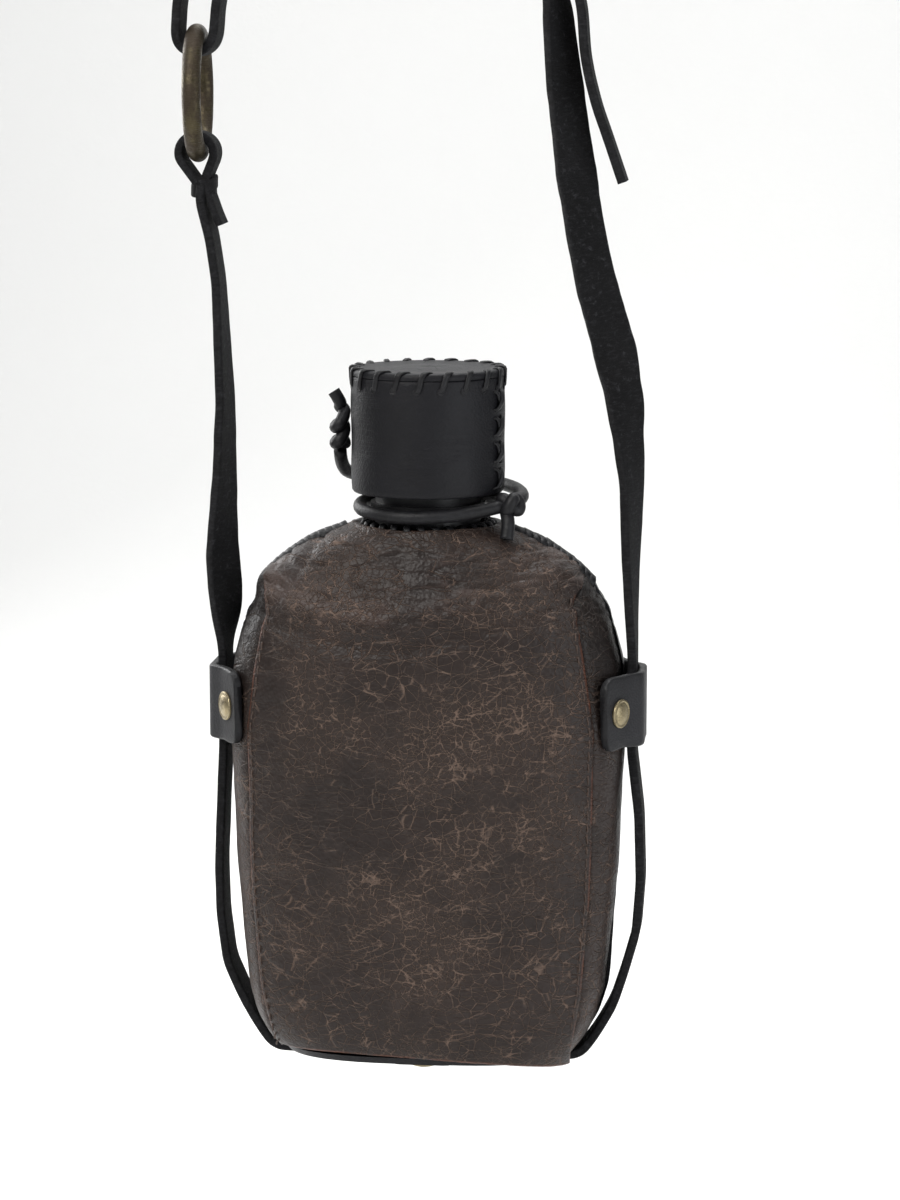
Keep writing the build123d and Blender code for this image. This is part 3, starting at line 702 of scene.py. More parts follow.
def strip(name, path, across, width, thick, corner=0.9, end_round=0.0, ripple=0.0, seed=1):
    """Leather strip along a path, with an "edge" mark, a lengthwise UV and rounded ends if asked for."""
    path, across = np.asarray(path, float), np.asarray(across, float)
    t = directions(path)
    across = across - t * (across * t).sum(1, keepdims=True)
    across /= np.linalg.norm(across, axis=1, keepdims=True)
    out = np.cross(across, t)
    section = rounded_section(width, thick, min(corner, thick * 0.45), 3)
    middle = np.linspace(0.92, -0.92, 9)[:, None] * [width / 2 - corner, 0]
    corners = len(section) // 4
    top, bottom = middle + [0, thick / 2], -middle - [0, thick / 2]
    section = np.concatenate([section[:corners], top[1:-1], section[corners:3 * corners],
                              bottom[1:-1], section[3 * corners:]])
    run = np.concatenate([[0], np.cumsum(np.linalg.norm(np.diff(path, axis=0), axis=1))])
    near = np.minimum(run, run[-1] - run)
    share = np.ones(len(run))
    if end_round:
        inside = np.clip(end_round - near, 0, end_round)
        share = 1 - (end_round - np.sqrt(end_round ** 2 - inside ** 2)) / (width / 2)
    if ripple:
        share = share * (1 + ripple * noise_at(path, 9.0, seed) * 2 / width)
    grid = path[:, None] + (section[None, :, :1] * share[:, None, None]) * across[:, None] \
        + section[None, :, 1:] * out[:, None]
    rows, cols = grid.shape[:2]
    faces = grid_faces(rows, cols, True)
    faces += [tuple(range(cols))[::-1], tuple((rows - 1) * cols + c for c in range(cols))]
    piece = object_from(name, grid.reshape(-1, 3), faces)
    side = np.abs(section[:, 0]) / (width / 2)
    mark = np.maximum(np.clip((side - 0.80) / 0.2, 0, 1)[None],
                      np.clip(1 - near / 1.6, 0, 1)[:, None] * bool(end_round))
    add_attribute(piece, "edge", np.broadcast_to(mark, (rows, cols)))
    add_uv(piece, np.broadcast_to(run[:, None] * MM, (rows, cols)).ravel(),
           np.broadcast_to(section[None, :, 0] * MM, (rows, cols)).ravel())
    work = bmesh.new()
    work.from_mesh(piece.data)
    bmesh.ops.recalc_face_normals(work, faces=work.faces)
    work.to_mesh(piece.data)
    work.free()
    return piece


# ---- The cover ----
def smooth_step(value, low, high):
    share = np.clip((value - low) / (high - low), 0, 1)
    return share * share * (3 - 2 * share)


def creases(points, seed):
    """Depth of the leather's creases, sharp along the shoulder and soft elsewhere, and its painted highlight: how much
    lighter the leather is painted above the shoulder's fold, on the wrinkles' ridges and on the upper shoulder, with a
    little random lightening.
    """
    x, z = points[:, 0], points[:, 2]
    shoulder = smooth_step(z, 138, 158) * (1 - 0.7 * smooth_step(z, 176, 181))
    level = noise_at(points, (30, 30, 6.5), seed, 2)
    lines = np.exp(-(level / 0.07) ** 2)
    finer = np.exp(-(noise_at(points, (20, 20, 4.0), seed + 4, 2) / 0.08) ** 2)
    soft = noise_at(points, (44, 44, 36), seed + 1, 2)
    small = noise_at(points, (9, 9, 7), seed + 2, 3)
    fold = 146 + 12 * np.clip(np.abs(x + 12) / 50, 0, 1.2) ** 1.7
    strength = 0.55 + 0.45 * smooth_step(-x, -30, 25)
    shelf = strength * (1.5 * np.exp(-((z - fold - 6.5) / 6.0) ** 2) - 1.1 * np.exp(-((z - fold + 1.5) / 3.6) ** 2))
    tuck = np.exp(-(((np.abs(x) - 43) + (z - 166) * 0.6) / 2.2) ** 2) * smooth_step(z, 152, 164) * (x < 0)
    depth = 0.7 * soft + 0.12 * small + shelf - shoulder * (0.75 * lines + 0.42 * finer) - 1.1 * tuck
    # Painted highlight above the fold, on the wrinkles' ridges and on the upper shoulder, plus a little random
    # lightening.
    raised = np.clip(0.62 * np.exp(-((z - fold - 9) / 8.0) ** 2) * strength + 0.22 * smooth_step(z, 150, 170)
                     + shoulder * 0.45 * np.exp(-((level - 0.13) / 0.07) ** 2) + 0.22 * small, 0, 1)
    return depth, raised


def cover_panel(name, start, end, rows, cols, low, high, front, seed, lift=0.0, rim=True, slant=0.0):
    """Sheet of the cover between two angles, given as functions of height, with its thickness inwards."""
    levels = levels_by_length(rows, low, high)
    grid = np.array([cover_run(z, start(z), end(z), cols, front) for z in levels])
    if rim:
        top = grid[-1]
        flat = [top * (r / NECK_EDGE, r / NECK_EDGE, 1) + (0, 0, rise)
                for r, rise in ((22.9, 0.35), (22.4, 0.55), (21.8, 0.55), (21.2, 0.4), (20.7, 0.0), (20.5, -0.6))]
        grid = np.concatenate([grid, flat])
    normals = grid_normals(grid)
    if (normals[rows // 2, cols // 2] * (grid[rows // 2, cols // 2] * (1, 1, 0))).sum() < 0:
        normals = -normals
    points = grid.reshape(-1, 3)
    depth, raised = creases(points, seed)
    steps = np.linalg.norm(np.diff(grid, axis=1), axis=2)
    run = np.concatenate([np.zeros((len(grid), 1)), np.cumsum(steps, axis=1)], 1)
    to_side = np.minimum(run, run[:, -1:] - run)
    to_low = (grid[:, :, 2] - low)
    if lift > 0:
        near = np.minimum(to_side, to_low) if slant else to_side
        depth = depth + (lift * np.exp(-near / 5.0) - 0.7 * np.exp(-(near / 0.55) ** 2)).ravel()
    points = points + normals.reshape(-1, 3) * depth[:, None]
    if slant:
        fade = np.clip(1 - (points[:, 2] - low) / 30, 0, 1) ** 2
        across = np.clip(np.abs(points[:, 0]) / 50, 0, 1)
        points[:, 2] += fade * (2.2 * (1 - across ** 2.5) - 0.9 * across ** 4 - slant * points[:, 0] / 50)
    piece = object_from(name, points, grid_faces(len(grid), cols))
    top_edge = np.clip(1 - np.abs(HEIGHT + 0.3 - points[:, 2]) / 1.0, 0, 1) * (np.hypot(*points[:, :2].T) < 23)
    edge = np.clip(1 - np.minimum(to_side, to_low if slant else 99).ravel() / 2.2, 0, 1)
    add_attribute(piece, "edge", np.maximum(edge * (lift > 0), 0.5 * top_edge))
    # Painted highlight from the creases; these panels get no painted shade, the side gussets set their own.
    add_attribute(piece, "raised", raised)
    add_attribute(piece, "shade", 0 * raised)
    facing = sum(p.normal.dot(p.center - ORIGIN - Vector((0, 0, p.center.z - ORIGIN.z)))
                 for p in piece.data.polygons)
    if facing < 0:
        piece.data.flip_normals()
    modify(piece, "SOLIDIFY", thickness=0.0017, offset=-1.0)
    return fixed_mesh(piece)


class Canteen_PG_leather(bpy.types.PropertyGroup):
    """Colours and sizes of the leather cover"""
    brown: FloatVectorProperty(name="Brown", description="Front and side leather", subtype="COLOR", size=3,
                               default=(0.0195, 0.0133, 0.0115), min=0, max=1)
    wear: FloatVectorProperty(name="Wear", description="Creased and scratched leather", subtype="COLOR", size=3,
                              default=(0.150, 0.102, 0.078), min=0, max=1)
    black: FloatVectorProperty(name="Black", description="Back, base and cap leather", subtype="COLOR", size=3,
                               default=(0.0040, 0.0040, 0.0056), min=0, max=1)
    keeper: FloatVectorProperty(name="Keeper", description="Charcoal keeper leather", subtype="COLOR", size=3,
                                default=(0.017, 0.017, 0.019), min=0, max=1)
    slant: FloatProperty(name="Slant", description="How far the front's lower edge runs out of level",
                         subtype="DISTANCE", unit="LENGTH", default=0.0022, min=0, max=0.01)


class Canteen_PG_lacing(bpy.types.PropertyGroup):
    """Lace sizes and stitch counts"""
    width: FloatProperty(name="Lace width", description="Width of the flat lace", subtype="DISTANCE",
                         unit="LENGTH", default=0.0024, min=0.0005, max=0.01)
    thickness: FloatProperty(name="Lace thickness", description="Thickness of the flat lace", subtype="DISTANCE",
                             unit="LENGTH", default=0.0011, min=0.0003, max=0.005)
    cap_count: IntProperty(name="Cap stitches", description="Stitches round the cap's rim", default=20, min=3)
    neck_count: IntProperty(name="Neck stitches", description="Stitches round the neck", default=28, min=3)
    ridge_count: IntProperty(name="Ridge stitches", description="Stitches on each shoulder", default=13, min=2)
    seam_count: IntProperty(name="Seam stitches", description="Thread stitches on each side seam", default=40,
                            min=2)


class Canteen_PG_strap(bpy.types.PropertyGroup):
    """Strap, cord and brass"""
    width: FloatProperty(name="Strap width", description="Width of the strap", subtype="DISTANCE", unit="LENGTH",
                         default=0.015, min=0.005, max=0.04)
    thickness: FloatProperty(name="Strap thickness", description="Thickness of the strap", subtype="DISTANCE",
                             unit="LENGTH", default=0.003, min=0.001, max=0.008)
    suede: FloatVectorProperty(name="Suede", description="Strap colour", subtype="COLOR", size=3,
                               default=(0.0060, 0.0060, 0.0066), min=0, max=1)
    cord: FloatProperty(name="Cord diameter", description="Diameter of the neck cord", subtype="DISTANCE",
                        unit="LENGTH", default=0.0045, min=0.001, max=0.01)
    lace: FloatVectorProperty(name="Lace", description="Lace and cord colour", subtype="COLOR", size=3,
                              default=(0.0048, 0.0048, 0.0058), min=0, max=1)
    brass: FloatVectorProperty(name="Brass", description="Rivet brass", subtype="COLOR", size=3,
                               default=(0.34, 0.285, 0.175), min=0, max=1)


class Canteen_PG_stage(bpy.types.PropertyGroup):
    """Camera and lights"""
    lens: FloatProperty(name="Lens", description="Focal length in millimetres", default=107.3, min=10, max=300)
    key: FloatProperty(name="Key light", description="Power of the main light", subtype="POWER", default=9.0,
                       min=0)
    floor_gap: FloatProperty(name="Floor gap", description="Room under the hanging canteen", subtype="DISTANCE",
                             unit="LENGTH", default=0.060, min=0.001, max=1.0)


def leather_finish(context):
    settings = context.scene.canteen_leather
    return finish_named("cover_leather", brown_leather, tuple(settings.brown), tuple(settings.wear))


def back_finish(context):
    return finish_named("back_leather", smooth_leather, tuple(context.scene.canteen_leather.black), 0.36, 0.25)


def lace_finish(context):
    return finish_named("lace", lace_leather, tuple(context.scene.canteen_strap.lace), 0.40)


class CANTEEN_OT_cover(bpy.types.Operator):
    """Front panel, side gussets and back panel of the leather cover"""
    bl_idname = "canteen.cover"
    bl_label = "Build cover"

    def execute(self, context):
        slant = context.scene.canteen_leather.slant / MM
        brown, black = leather_finish(context), back_finish(context)
        front = cover_panel("front_leather", lambda z: max(seam_angle(z) - 0.006, 0), lambda z:
                            math.pi - max(seam_angle(z) - 0.006, 0), 190, 170, 0.6, HEIGHT, True, 3,
                            lift=0.45, slant=slant)
        finish_piece(front, "canteen", brown, ["front_panel"])
        for side, name in ((1, "right_gusset"), (-1, "left_gusset")):
            def inner(z):
                return seam_angle(z) + 0.05
            start, end = lambda z: 0.0, inner
            if side < 0:
                start, end = lambda z: math.pi - inner(z), lambda z: math.pi
            gusset = cover_panel(name.replace("gusset", "side_leather"), start, end, 130, 22, 0.8, 164.5, True,
                                 11 + side, rim=False)
            spots = np.array([(v.co - ORIGIN) / MM for v in gusset.data.vertices])
            # Painted shade on the side gussets: darker towards the top and towards the back, with some noise; the rest
            # gets a painted highlight.
            dark = smooth_step(spots[:, 2], 95, 158) * 0.75 + 0.25 * np.clip(noise_at(spots, (9, 9, 30), 4), 0, 1)
            dark = np.clip(dark + smooth_step(spots[:, 1], -15, -6) * 0.8, 0, 1)
            gusset.data.attributes["raised"].data.foreach_set("value", (0.62 * (1 - dark)).astype(np.float32))
            gusset.data.attributes["shade"].data.foreach_set("value", (0.85 * dark).astype(np.float32))
            for vertex in gusset.data.vertices:
                x = abs(vertex.co.x - ORIGIN.x) / MM
                z = (vertex.co.z - ORIGIN.z) / MM
                sunk = 0.25 + 1.5 * smooth_step(seam_half_width(z) + 1.2 - x, 0, 2.5)
                vertex.co.y += sunk * MM
                vertex.co.x -= side * 0.2 * MM
            finish_piece(gusset, "canteen", brown, [name])
        back = cover_panel("back_leather", lambda z: 0.0, lambda z: math.pi, 150, 150, 0.4, HEIGHT, False, 21)
        finish_piece(back, "canteen", black, ["back_panel"])
        return {"FINISHED"}


class CANTEEN_OT_seams(bpy.types.Operator):
    """Waxed thread along the front panel's two side seams"""
    bl_idname = "canteen.seams"
    bl_label = "Sew side seams"

    def execute(self, context):
        stitch = cord_mesh("stitch", [(x, 0, 0.30 - 0.13 * x * x) for x in np.linspace(-1.5, 1.5, 7)], 0.32, 8)
        stitch.data.transform(Matrix.Translation(-ORIGIN))
        thread = finish_named("waxed_thread", waxed_thread)
        for side, name in ((1, "right_seam_thread"), (-1, "left_seam_thread")):
            line, out = [], []
            for z in np.linspace(4, 158, 80):
                angle = seam_angle(z) + 0.055
                point = cover_run(z, angle, math.pi - angle, 3)[0]
                a, b, power = cover_size(z)
                normal = Vector((abs(point[0] / a) ** (power - 1) / a, -abs(point[1] / b) ** (power - 1) / b, 0))
                normal.normalize()
                depth = creases(np.array([point * (side, 1, 1)]), 3)[0][0] + 0.15
                out.append((side * normal.x, normal.y, 0))
                line.append((side * (point[0] + normal.x * depth), point[1] + normal.y * depth, z))
            threads = row(name, line, out, directions(line), context.scene.canteen_lacing.seam_count, stitch,
                          thread, wobble=0.08, seed=5)
            finish_piece(threads, "canteen", thread)
        bpy.data.objects.remove(stitch)
        return {"FINISHED"}


class CANTEEN_OT_lacing(bpy.types.Operator):
    """Lace over the shoulder ridges and round the neck"""
    bl_idname = "canteen.lacing"
    bl_label = "Lace shoulders and neck"

    def execute(self, context):
        settings = context.scene.canteen_lacing
        width, thick = settings.width / MM, settings.thickness / MM
        lace = lace_finish(context)
        arch = [(-3.6, -2.2), (-3.3, -0.9), (-2.2, 0.05), (0, 0.45), (2.2, 0.05), (3.3, -0.9), (3.6, -2.2)]
        stitch = lace_stitch("ridge_stitch", arch, width * 1.25, thick, lean=3.4)
        for side, name in ((1, "right_ridge_lacing"), (-1, "left_ridge_lacing")):
            z = levels_by_length(40, 163.5, 180.0)
            a = cover_size(z)[0]
            line = np.stack([side * a, np.zeros(40), z], 1)
            t = directions(line)
            out = np.stack([t[:, 2] * side * np.sign(t[0, 2]), np.zeros(40), np.abs(t[:, 0])], 1)
            stitches = row(name.replace("lacing", "lace"), line + out * 0.5, out, [(0, -1, 0)] * 40,
                           settings.ridge_count, stitch, lace, wobble=0.10, seed=8 + side)
            finish_piece(stitches, "canteen", lace, [name])
        bpy.data.objects.remove(stitch)
        arch = [(-1.5, -1.8), (-1.3, -0.7), (-0.6, -0.1), (0.5, -0.1), (1.3, -0.7), (1.5, -1.8)]
        stitch = lace_stitch("neck_stitch", arch, width * 0.95, thick, lean=1.4)
        angles = np.linspace(0, 2 * math.pi, 96, endpoint=False)
        ring = np.stack([21.4 * np.cos(angles), 21.4 * np.sin(angles), np.full(96, HEIGHT + 1.1)], 1)
        round_neck = row("neck_lace", ring, [(0.25 * math.cos(a), 0.25 * math.sin(a), 1) for a in angles],
                         [(math.cos(a), math.sin(a), -0.2) for a in angles], settings.neck_count, stitch, lace,
                         wobble=0.10, seed=4, closed=True)
        finish_piece(round_neck, "canteen", lace, ["neck_lacing"])
        bpy.data.objects.remove(stitch)
        return {"FINISHED"}


class CANTEEN_OT_cap(bpy.types.Operator):
    """Leather round and over the screw cap, with its laces"""
    bl_idname = "canteen.cap"
    bl_label = "Build cap leather"

    def execute(self, context):
        settings = context.scene.canteen_lacing
        width, thick = settings.width / MM, settings.thickness / MM
        leather = finish_named("cap_leather", smooth_leather, tuple(context.scene.canteen_leather.black), 0.46, 0.4)
        lace = lace_finish(context)
        r, low, top = CAP_RADIUS, CAP_LOW.z, CAP_TOP
        side_top = CAP_HIGH.z
        outline = [(r - 2.3, low + 0.3), (r - 1.6, low), (r - 0.6, low + 0.1), (r - 0.1, low + 0.8)]
        outline += [(r + 0.12 * math.sin(k * 0.9), low + 2 + (side_top - low - 4) * k / 12) for k in range(13)]
        outline += [(r, side_top - 0.5), (r - 0.25, side_top - 0.08), (r - 1.2, side_top), (r - 2.4, side_top)]
        outline += [(r - 2.4, side_top - (side_top - low) * k / 6) for k in range(1, 6)]
        side = lathe("cap_side_wrap", outline, 160, wobble=0.22, seed=3)
        finish_piece(side, "cap", leather, ["cap_side_leather"])
        lid = [(0.0, side_top), (r - 0.5, side_top), (r - 0.06, side_top + 0.12), (r, side_top + 0.5),
               (r - 0.05, top - 0.9), (r - 0.45, top - 0.25), (r - 1.5, top)]
        lid += [(r * (1 - k / 8) - 1.5 * (1 - k / 8), top - 0.35 * math.sin(k * 0.5) ** 2) for k in range(1, 8)]
        lid += [(0.0, top - 0.35)]
        cover = lathe("cap_top_disc", lid, 160, wobble=0.12, seed=6)
        finish_piece(cover, "cap", leather, ["cap_top_leather"])
        over = [(-6.5, -1.4), (-6.2, -0.5), (-5.5, 0.12), (-3.4, 0.28), (-1.2, 0.32), (-0.3, 0.25), (0.12, -0.15),
                (0.28, -0.9), (0.22, -2.2), (0.0, -3.1), (-1.0, -3.5)]
        stitch = lace_stitch("rim_stitch", over, width * 0.8, thick * 0.8, lean=-5.2)
        angles = np.linspace(0, 2 * math.pi, 120, endpoint=False) + 0.05
        rim = np.stack([r * np.cos(angles), r * np.sin(angles), np.full(120, top)], 1)
        out = np.stack([np.cos(angles), np.sin(angles), 0 * angles], 1)
        stitches = row("cap_rim_lace", rim, out, [(0, 0, 1)] * 120, settings.cap_count, stitch, lace, wobble=0.045,
                       seed=12, closed=True)
        finish_piece(stitches, "cap", lace, ["cap_top_lacing"])
        bpy.data.objects.remove(stitch)
        hole = lathe("lace_hole", [(0, -0.3), (1.15, -0.3), (1.2, 0.0), (1.0, 0.10), (0.8, 0.02), (0, 0.0)], 20,
                     loose=True)
        along = np.stack([-out[:, 1], out[:, 0], 0 * angles], 1)
        holes = row("cap_lace_holes", rim + (0, 0, -6.1) + out * 0.02 + along * -2.2, out, [(0, 0, 1)] * 120,
                    settings.cap_count, hole, lace, wobble=0.0, closed=True)
        finish_piece(holes, "cap", lace)
        bpy.data.objects.remove(hole)
        a = math.radians(-18)
        line = np.stack([np.full(20, r * math.cos(a)), np.full(20, r * math.sin(a)),
                         np.linspace(low + 5.4, top - 10.2, 20)], 1)
        crossing = [[(-3.4, -1.2), (-3.1, 0.1), (-2.2, 0.55), (0, 0.6), (2.2, 0.55), (3.1, 0.1), (3.4, -1.2)],
                    [(-3.4, -1.2), (-3.1, 0.2), (-2.2, 0.9), (0, 1.6), (2.2, 0.9), (3.1, 0.2), (3.4, -1.2)]]
        for name, shape, lean, seed in (("cap_seam_under", crossing[0], 6.2, 2),
                                        ("cap_seam_over", crossing[1], -6.2, 6)):
            stitch = lace_stitch("seam_stitch", shape, width * 0.85, thick, lean=lean)
            stitches = row(name, line, [(math.cos(a), math.sin(a), 0)] * 20, [(0, 0, 1)] * 20, 4, stitch, lace,
                           wobble=0.06, seed=seed)
            finish_piece(stitches, "cap", lace, ["cap_side_lacing"] if name == "cap_seam_over" else [])
            bpy.data.objects.remove(stitch)
        return {"FINISHED"}


# ---- The strap ----
FOOT, RISER_TOP, TIE = 138.6, 345.2, 290.2
STRAP_SIDE, CORNER = 69.8, 50.5
RIGHT_RISER = [(0, 0, 90), (.06, .02, 86), (.15, .035, 78), (.28, .03, 68), (.41, .127, 42), (.50, .278, 16),
               (.60, .513, 32), (.68, .649, 37), (.77, .768, 33), (.87, .880, 42), (.94, .950, 49), (1, 1, 55)]
LEFT_RISER = [(0, 0, 90), (.04, .03, 76), (.09, .06, 58), (.15, -.02, 53), (.21, -.12, 57), (.29, -.07, 66),
              (.38, .03, 74), (.55, .12, 82), (.68, -.02, 86), (.82, -.16, 90), (.92, -.50, 90), (1, -1, 90)]
LEFT_BULGE = [(1.0, 85.0), (2.0, 62.0), (1.6, 45.0), (-0.5, 28.0)]
RIGHT_BULGE = [(2.7, 83.0), (3.4, 60.0), (2.1, 42.0), (-1.8, 28.0)]
CORNER_WRAP = [(13.8, 16.5), (9.1, 8.0), (6.0, 3.2)]
STRAP_NODES = ["strap_under_base", "strap_sling_left", "strap_sling_right", "strap_right_riser",
               "strap_arch_right", "strap_arch_top", "strap_arch_left", "strap_ring_turn", "strap_over_left",
               "strap_over_top", "strap_over_right", "strap_tail", "strap_left_riser"]


def arc(cx, cz, radius, start, end, steps):
    return [(cx + radius * math.cos(math.radians(start + (end - start) * i / steps)),
             cz + radius * math.sin(math.radians(start + (end - start) * i / steps))) for i in range(steps + 1)]


def sling(side, bulge):
    """Strap from the tilt axis down one side and round the base's corner."""
    points = [(STRAP_SIDE, 133.4), (STRAP_SIDE, 120.5), (STRAP_SIDE, 105.5)]
    points += [(STRAP_SIDE + d, z) for d, z in bulge] + [(CORNER + d, z) for d, z in CORNER_WRAP]
    points += [(CORNER + 2.4, -1.3), (CORNER - 2.2, -1.8)]
    return [(side * x, z, 90) for x, z in points]


def strap_stations():
    """Whole strap as (x, z, turn of its width from +X): tail, over, ring, arch, right side, base, left side."""
    ring_x = RING_CENTRE.x
    tail = [(52 + d, RISER_TOP - fall, 90)
            for d, fall in ((13.6, 49.6), (8.2, 34.0), (4.6, 24.0), (2.2, 15.0), (0.6, 7.0))]
    over = [(-16 + 68 * math.cos(math.radians(a)), RISER_TOP + 60.9 * math.sin(math.radians(a)), 90)
            for a in range(0, 171, 5)]
    turn = [(x, z, 90) for x, z in arc(ring_x, RISER_TOP, 6.6, -180, 0, 12)]
    bend = arc(-13.45, RISER_TOP, 57.35, 180, 0, 18)
    arch = [(x, z, min(90, 55 + 9 * (18 - i))) for i, (x, z) in enumerate(bend)]
    right = [(STRAP_SIDE + (43.9 - STRAP_SIDE) * over_, FOOT + (RISER_TOP - FOOT) * up, turn_)
             for up, over_, turn_ in reversed(RIGHT_RISER)]
    left = []
    for up, over_, turn_ in LEFT_RISER:
        left.append((-STRAP_SIDE + 6.4 * over_, FOOT + (TIE - FOOT) * up, turn_))
    left.append((-75.4, TIE + 5.5, 90))
    return (tail + over + turn[1:] + arch[1:] + right[1:] + sling(1, RIGHT_BULGE)
            + list(reversed(sling(-1, LEFT_BULGE))) + left)


class CANTEEN_OT_strap(bpy.types.Operator):
    """Whole strap, from its tail over the arch, through the ring and round the canteen to the tie"""
    bl_idname = "canteen.strap"
    bl_label = "Build strap"

    def execute(self, context):
        settings = context.scene.canteen_strap
        stations = np.array(strap_stations(), float)
        x, z, bearing = stations.T
        close = softened_path(np.stack([x, bearing * 0, z, bearing], 1), 1.0, 3)
        path, turn = close[:, :3], np.radians(close[:, 3])
        width, thick = settings.width / MM, settings.thickness / MM
        free = smooth_step(path[:, 2], 145, 165)
        path[:, 1] += 0.5 * free * noise_at(path, 30, 5)
        across = np.stack([np.cos(turn), np.sin(turn), 0 * turn], 1)
        strap = strip("strap", path, across, width - 0.5, thick, corner=0.8, ripple=0.35, seed=7)
        suede = finish_named("strap_suede", split_leather, tuple(settings.suede))
        finish_piece(strap, None, suede)
        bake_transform(strap)
        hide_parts(*STRAP_NODES)
        tie_x, rod_z = RING_CENTRE.x, RING_CENTRE.z - RING_MAJOR
        wrap = [(tie_x + 2.2, TIE + 0.5), (tie_x + 0.8, TIE + 4.5), (tie_x - 2.2, TIE + 8.6)]
        wrap += arc(tie_x, rod_z, 6.0, 200, -20, 14) + [(tie_x + 3.6, TIE + 8.6), (tie_x + 2.2, TIE + 5.0)]
        path = softened_path([(x, 0.0, z) for x, z in wrap], 0.6, 2)
        loop = strip("ring_tie", path, [(0, 1, 0)] * len(path), 11.6, 2.8, ripple=0.3, seed=3)
        finish_piece(loop, "strap", suede, ["strap_ring_tie"])
        end = softened_path([(tie_x + x, -2.0, TIE + z) for x, z in
                             ((2.4, 7.2), (3.6, 4.0), (5.2, -0.5), (6.6, -4.6), (8.4, -8.8))], 0.6, 2)
        tail = strip("tie_end", end, [(0.1, 1, 0)] * len(end), 8.8, 2.5, ripple=0.4, seed=9)
        finish_piece(tail, "strap", suede, ["strap_tie_end"])
        turns = []
        for tilt, lift, size, wide in ((0.55, 0.2, 1.0, 4.6), (-0.75, 0.0, 0.9, 4.2)):
            angles = np.linspace(0, 2 * math.pi, 60, endpoint=False)
            x = 3.3 * size * np.sign(np.cos(angles)) * np.abs(np.cos(angles)) ** 0.7
            y = 5.7 * size * np.sign(np.sin(angles)) * np.abs(np.sin(angles)) ** 0.7
            ring = np.stack([tie_x + 2.0 + x, y, TIE + 4.2 + lift + tilt * x * 0.5 + tilt * y * 0.35], 1)
            out = np.stack([np.cos(angles), np.sin(angles), 0 * angles], 1)
            grid, faces = swept(ring, np.cross(directions(ring, True), out), out,
                                rounded_section(wide, 2.0, 0.8, 3), True)
            turns.append((grid.reshape(-1, 3), faces))
        verts = np.concatenate([t[0] for t in turns])
        count = len(turns[0][0])
        faces = turns[0][1] + [tuple(i + count for i in face) for face in turns[1][1]]
        knot = face_out(object_from("tie_knot", verts, faces))
        finish_piece(knot, "strap", suede, ["strap_tie_knot"])
        return {"FINISHED"}


class CANTEEN_OT_ring(bpy.types.Operator):
    """Round brass ring that joins the strap's ends"""
    bl_idname = "canteen.ring"
    bl_label = "Build ring"

    def execute(self, context):
        rows, cols = 180, 24
        u, v = np.meshgrid(np.linspace(0, 2 * math.pi, rows, endpoint=False),
                           np.linspace(0, 2 * math.pi, cols, endpoint=False), indexing="ij")
        rod = RING_ROD * (1 + 0.008 * np.sin(3 * u + 1) + 0.004 * np.sin(11 * u))
        reach = RING_MAJOR + rod * np.cos(v)
        c = RING_CENTRE
        grid = np.stack([c.x + rod * np.sin(v) - 0.065 * reach * np.cos(u), c.y + reach * np.cos(u),
                         c.z + reach * np.sin(u)], 2)
        ring = face_out(object_from("ring", grid.reshape(-1, 3), grid_faces(rows, cols, True, True)))
        brass = finish_named("dark_brass", aged_brass, shade(context.scene.canteen_strap.brass, 0.22), 0.9)
        finish_piece(ring, "ring", brass, ["brass_ring"])
        return {"FINISHED"}


KEEPER_THICK = 2.7
KEEPER_MIDDLE = (KEEPER_HIGH.z + KEEPER_LOW.z) / 2
RIVET_LEAN = 0.863, 0.505           # way out of a side rivet, along X and Y
RIVET_OFFSET = 17.0                 # side rivets, from the middle of the side
BASE_RIVET_OFFSET = 14.5


class CANTEEN_OT_keepers(bpy.types.Operator):
    """Riveted leather keepers at the sides and under the base"""
    bl_idname = "canteen.keepers"
    bl_label = "Build keepers"

    def execute(self, context):
        colour = tuple(context.scene.canteen_leather.keeper)
        leather = finish_named("keeper_leather", smooth_leather, colour, 0.5, 0.35)
        tall = KEEPER_HIGH.z - KEEPER_LOW.z
        half = [(61.3, -24.9), (67.96, -13.58), (72.95, -8.7)]
        for side, name in ((1, "right_keeper"), (-1, "left_keeper")):
            plan = [(side * x, y, KEEPER_MIDDLE) for x, y in half]
            plan += [(x, -y, z) for x, y, z in reversed(plan)]
            path = softened_path(plan, 0.5, 4)
            path[:, 2] += 0.25 * noise_at(path, 12, 4 + side)
            loop = strip(name.replace("keeper", "loop"), path, [(0, 0, 1)] * len(path), tall, KEEPER_THICK,
                         corner=0.8, end_round=4.5, ripple=0.3, seed=5 + side)
            finish_piece(loop, "canteen", leather, [name])
        plan = [(0, -21, -1.35), (0, -11.3, -1.35), (0, -8.7, -4.95)]
        plan += [(0, -y, z) for _, y, z in reversed(plan)]
        path = softened_path(plan, 0.5, 3)
        loop = strip("base_loop", path, [(1, 0, 0)] * len(path), 24.0, KEEPER_THICK, corner=0.8, end_round=4.0,
                     seed=3)
        finish_piece(loop, "canteen", leather, ["base_keeper"])
        return {"FINISHED"}


